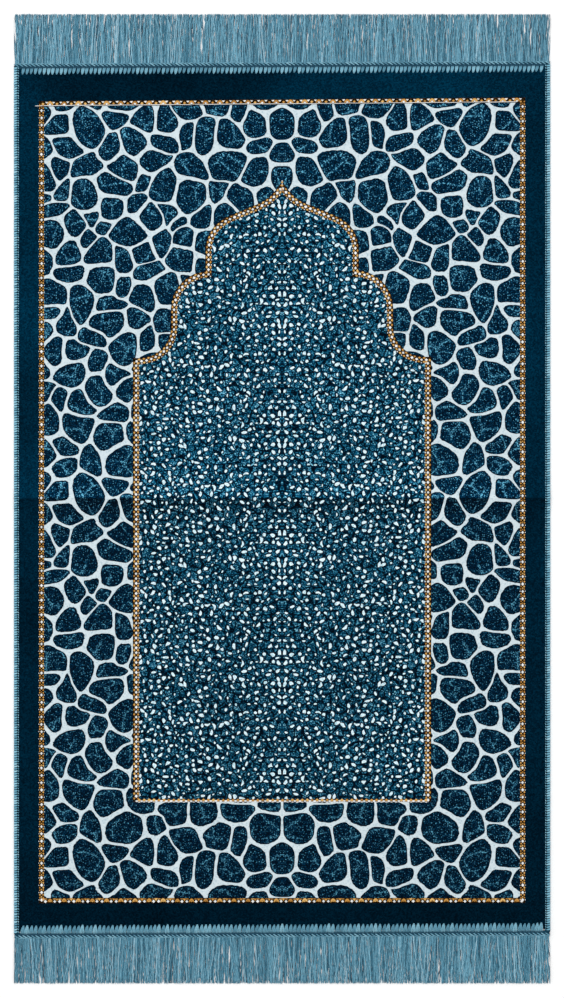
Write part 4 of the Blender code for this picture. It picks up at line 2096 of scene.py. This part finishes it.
@dataclass
class FringeEnd:
    """One end's fringe: whip stitches over the cloth's end, a chain stitch, and loose yarns."""

    surface: RugSurface
    rows: Tree
    yarns: Tree
    thread: bpy.types.Material
    shaded: bpy.types.Material
    yarn: bpy.types.Material
    end: End
    half_width: float = 329.4
    half_limit: float = 330.0
    count: int = 126
    pegs_left_out: int = 3
    size_spread: float = 0.06
    lean: float = 1.5
    yarn_count: int = 2000
    yarn_inset: float = 0.8
    yarn_root: float = 1.6
    tip_line: float = 596.6
    band_rings: int = 61
    band_reach: tuple[float, float] = (0.3, 2.4)
    slope_end: tuple[float, float] = (545 * MM, 40 * MM)

    @property
    def plan(self) -> StitchPlan:
        """This end's stitches."""
        return self.end.value

    @property
    def pitch(self) -> float:
        """Distance from one stitch to the next."""
        return 2 * self.half_width / self.count

    def peg_part(self) -> Thing:
        """One whip stitch: three threads from a root at the origin to a tip towards -Y.

        Returns:
            The part to copy.
        """
        long, wide = self.plan.peg_length, self.plan.peg_breadth * self.pitch
        # Columns: shares of the lean, the breadth and the length, and the height.
        stations = (
            (0.5, 0.9, 0.6 / long, 0.1), (0.35, 1.0, -0.12, 0.75), (0.1, 0.95, -0.4, 1.05),
            (-0.2, 0.7, -0.7, 0.8), (-0.5, 0.25, -1.0, -0.1),
        )
        shells = []
        for k in (-1, 0, 1):
            path = [(lean * self.lean + x * wide * k, y * long, z) for lean, x, y, z in stations]
            shells.append(strand(path, (0.55, 0.75, 0.82, 0.7, 0.35), 6, 0.8))
        return solid_part("whip_stitch", shells)

    def link_part(self) -> Thing:
        """One link of the chain stitch: a crown strand that slants, and a thinner one beside it.

        Returns:
            The part to copy.
        """
        crown = (
            (-0.62, 1.35, 0.35), (-0.30, 1.0, 0.95), (0.05, 0.0, 1.25), (0.35, -1.05, 1.0),
            (0.55, -1.45, 0.3),
        )
        rail = ((-0.45, 1.55, 0.3), (-0.1, 1.8, 0.75), (0.3, 1.75, 0.75), (0.6, 1.5, 0.3))
        strands = ((crown, (0.45, 0.68, 0.75, 0.68, 0.4), 6), (rail, (0.4, 0.5, 0.5, 0.4), 5))
        shells = [
            strand([(x * self.pitch, y, z) for x, y, z in path], radii, sides)
            for path, radii, sides in strands
        ]
        return solid_part("chain_link", shells)

    def band(self) -> Thing:
        """The trim's woven band under the chain stitch.

        Returns:
            The bar across the end.
        """
        inner = self.plan.peg_root - self.band_reach[0]
        outer = self.plan.chain_line + self.band_reach[1]
        section = (
            (inner, 2.75), (inner + 1.2, 3.15), (self.plan.chain_line, 3.35), (outer - 0.6, 3.0),
            (outer, 2.0), (outer, 0.9), (inner + 0.8, 0.45), (inner, 0.5),
        )
        across = np.linspace(-self.half_width, self.half_width, self.band_rings)
        rings = [[(x, y, z) for y, z in section] for x in across]
        # Painted shade: the band is dark, as shade under the stitches.
        return swept_bar("trim_band", rings, self.shaded)

    def stitches(self) -> Thing:
        """Builds the whip stitches, the chain stitch and the band under them.

        Returns:
            The joined piece, in its place.
        """
        name = f"fringe_stitches_{self.end.name.lower()}"
        pieces, pegs = [self.band()], self.count - self.pegs_left_out
        parts = (
            (self.peg_part(), pegs, self.plan.peg_root, 2.75, 0.06, 0.25, 1),
            (self.link_part(), self.count, self.plan.chain_line, 3.1, 0.03, 0.12, 2),
        )
        for part, count, y, height, turn, loose, salt in parts:
            reach = count * self.pitch / 2
            path = np.array([[-reach, y], [reach, y]])
            seed = salt + self.plan.stitch_seed
            row = Row(count, self.pitch, self.size_spread, turn, loose, seed, height=height)
            pieces.append(row.set_out(f"{name}_{salt}", self.rows, part, path, self.thread))
        return self.placed(join(name, pieces))

    def loose_yarns(self) -> Thing:
        """Builds the fringe's yarns.

        Returns:
            The piece, in its place.
        """
        root = self.plan.chain_line + self.yarn_root
        values = {
            "Count": self.yarn_count, "Width": 2 * (self.half_width - self.yarn_inset) * MM,
            "Length": (self.tip_line - root) * MM, "Length Spread": 0.7 * MM, "Lean": 0.13,
            "Sway": 3.0 * MM, "Thickness": 0.56 * MM, "Root Height": 1.7 * MM,
            "Tip Height": 0.55 * MM, "Layers": 1.6 * MM, "Segments": 13,
            "Seed": self.plan.yarn_seed, "Material": self.yarn,
        }
        path = np.array([[0.0, 0.0], [0.0, MM]])
        piece = run_tree(f"fringe_yarns_{self.end.name.lower()}", self.yarns, path, values)
        points = coordinates(piece.data)
        points[:, 1] += root * MM
        points[:, 0] = np.clip(points[:, 0], -self.half_limit * MM, self.half_limit * MM)
        reshape_mesh(piece.data, points)
        return self.placed(piece)

    def placed(self, piece: Thing) -> Thing:
        """Turns a piece of the head's plan to this end, with the weft's slope at its stitches.

        Args:
            piece: Piece to move.

        Returns:
            The same piece.
        """
        points = coordinates(piece.data)
        if self.end is End.FOOT:
            points[:, :2] *= -1.0
        start, ease = self.slope_end
        share = 1.0 - smooth_step((np.abs(points[:, 1]) - start) / ease)
        points[:, 1] += self.surface.weft_slopes[-1] * points[:, 0] * share
        reshape_mesh(piece.data, points)
        return piece


# ---- Studio ----


@dataclass(frozen=True)
class Studio:
    """Pale floor, soft even light, and a camera straight above the rug."""

    photo_rows: int = 998
    row_height: float = 1.2309 * MM
    centre: tuple[float, float] = (-0.1 * MM, -0.3 * MM)
    rug_height: float = 3 * MM
    lens: float = 90.0
    sensor: float = 36.0
    key_power: float = 62.0
    key_place: tuple[float, float, float] = (-0.4, 0.75, 3.3)
    key_size: tuple[float, float] = (2.6, 1.8)
    sky: float = 0.72
    floor_half: float = 6.0
    floor_height: float = -0.2 * MM

    def floor(self) -> None:
        """Lays the floor."""
        size, z = self.floor_half, self.floor_height
        corners = [(-size, -size, z), (size, -size, z), (size, size, z), (-size, size, z)]
        floor = mesh_object("studio_floor", corners, [(0, 1, 2, 3)])
        material, tree, shader = new_material(
            "painted_floor_matt_white", Roughness=0.9, Specular_IOR_Level=0.1
        )
        grain = add_node(tree, NOISE, add_node(tree, COORDINATES, out="Object"), Scale=30.0)
        tone = add_node(tree, RAMP, grain, stops=((0.0, "#f6f6f6"), (1.0, "#f8f8f8")))
        tree.links.new(tone, shader.inputs["Base Color"])
        floor.data.materials.append(material)

    def lights(self) -> None:
        """Sets the soft light and the pale surroundings."""
        world = bpy.data.worlds.new("studio_surroundings")
        world.use_nodes = True
        sky = next(n for n in world.node_tree.nodes if n.type == "BACKGROUND")
        sky.inputs["Color"].default_value = linear("#ffffff")
        sky.inputs["Strength"].default_value = self.sky
        bpy.context.scene.world = world
        light = bpy.data.lights.new("soft_key", "AREA")
        light.shape, light.energy = "RECTANGLE", self.key_power
        light.size, light.size_y = self.key_size
        lamp = in_scene("soft_key", light)
        lamp.location = self.key_place
        lamp.rotation_euler = (-lamp.location).to_track_quat("-Z", "Y").to_euler()

    def camera(self) -> None:
        """Hangs the camera over the rug, with the photograph's frame at the pile's height."""
        data = bpy.data.cameras.new("overhead")
        data.lens, data.sensor_width, data.sensor_fit = self.lens, self.sensor, "AUTO"
        camera = in_scene("overhead", data)
        distance = self.photo_rows * self.row_height / self.sensor * self.lens
        camera.location = (*self.centre, distance + self.rug_height)
        bpy.context.scene.camera = camera

    def build(self) -> None:
        """Sets up the whole studio."""
        self.floor()
        self.lights()
        self.camera()
        bpy.context.scene.view_settings.view_transform = "Standard"


# ---- Putting it together ----


def attach(piece: Thing, slot: str, *nodes: str) -> None:
    """Ties a finished piece to the frame and reports it.

    Args:
        piece: The piece.
        slot: The record's material slot; not used.
        *nodes: CAD nodes that it stands for.
    """
    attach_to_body(piece, BODY)
    if nodes:
        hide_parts(*nodes)
    triangles = sum(len(p.vertices) - 2 for p in piece.data.polygons)
    log.info("%s: %d triangles", piece.name, triangles)


def main() -> None:
    """Builds the rug's pieces in order, then the studio."""
    logging.basicConfig(level=logging.INFO, format="%(message)s", stream=sys.stdout, force=True)
    surface = RugSurface()
    rows, yarns = row_tree(), yarn_tree()
    thread, shaded, serging_thread, yarn = (
        finish.material()
        for finish in (STITCH_THREAD, CORE_THREAD_PAINTED_SHADE, SERGING_THREAD_PAINTED_LIGHT, FRINGE_YARN)
    )

    design = PileCloth(surface)
    cloth = design.build()
    attach(cloth, "plush_pile", "pile_cloth")
    for chain in BeadChain(surface, design.arch, design.chain, rows).build():
        attach(chain, "plush_pile")

    trims = []
    serging = SideSerging(surface, rows, serging_thread, shaded)
    for sign, node in ((-1.0, "serging_left"), (1.0, "serging_right")):
        trims.append(serging.build(sign))
        attach(trims[-1], "serging_thread", node)
    for end, node in ((End.HEAD, "fringe_head"), (End.FOOT, "fringe_foot")):
        fringe = FringeEnd(surface, rows, yarns, thread, shaded, yarn, end)
        for build in (fringe.stitches, fringe.loose_yarns):
            trims.append(build())
            attach(trims[-1], "fringe_yarn", node)

    Studio().build()


if __name__ == "__main__":
    main()
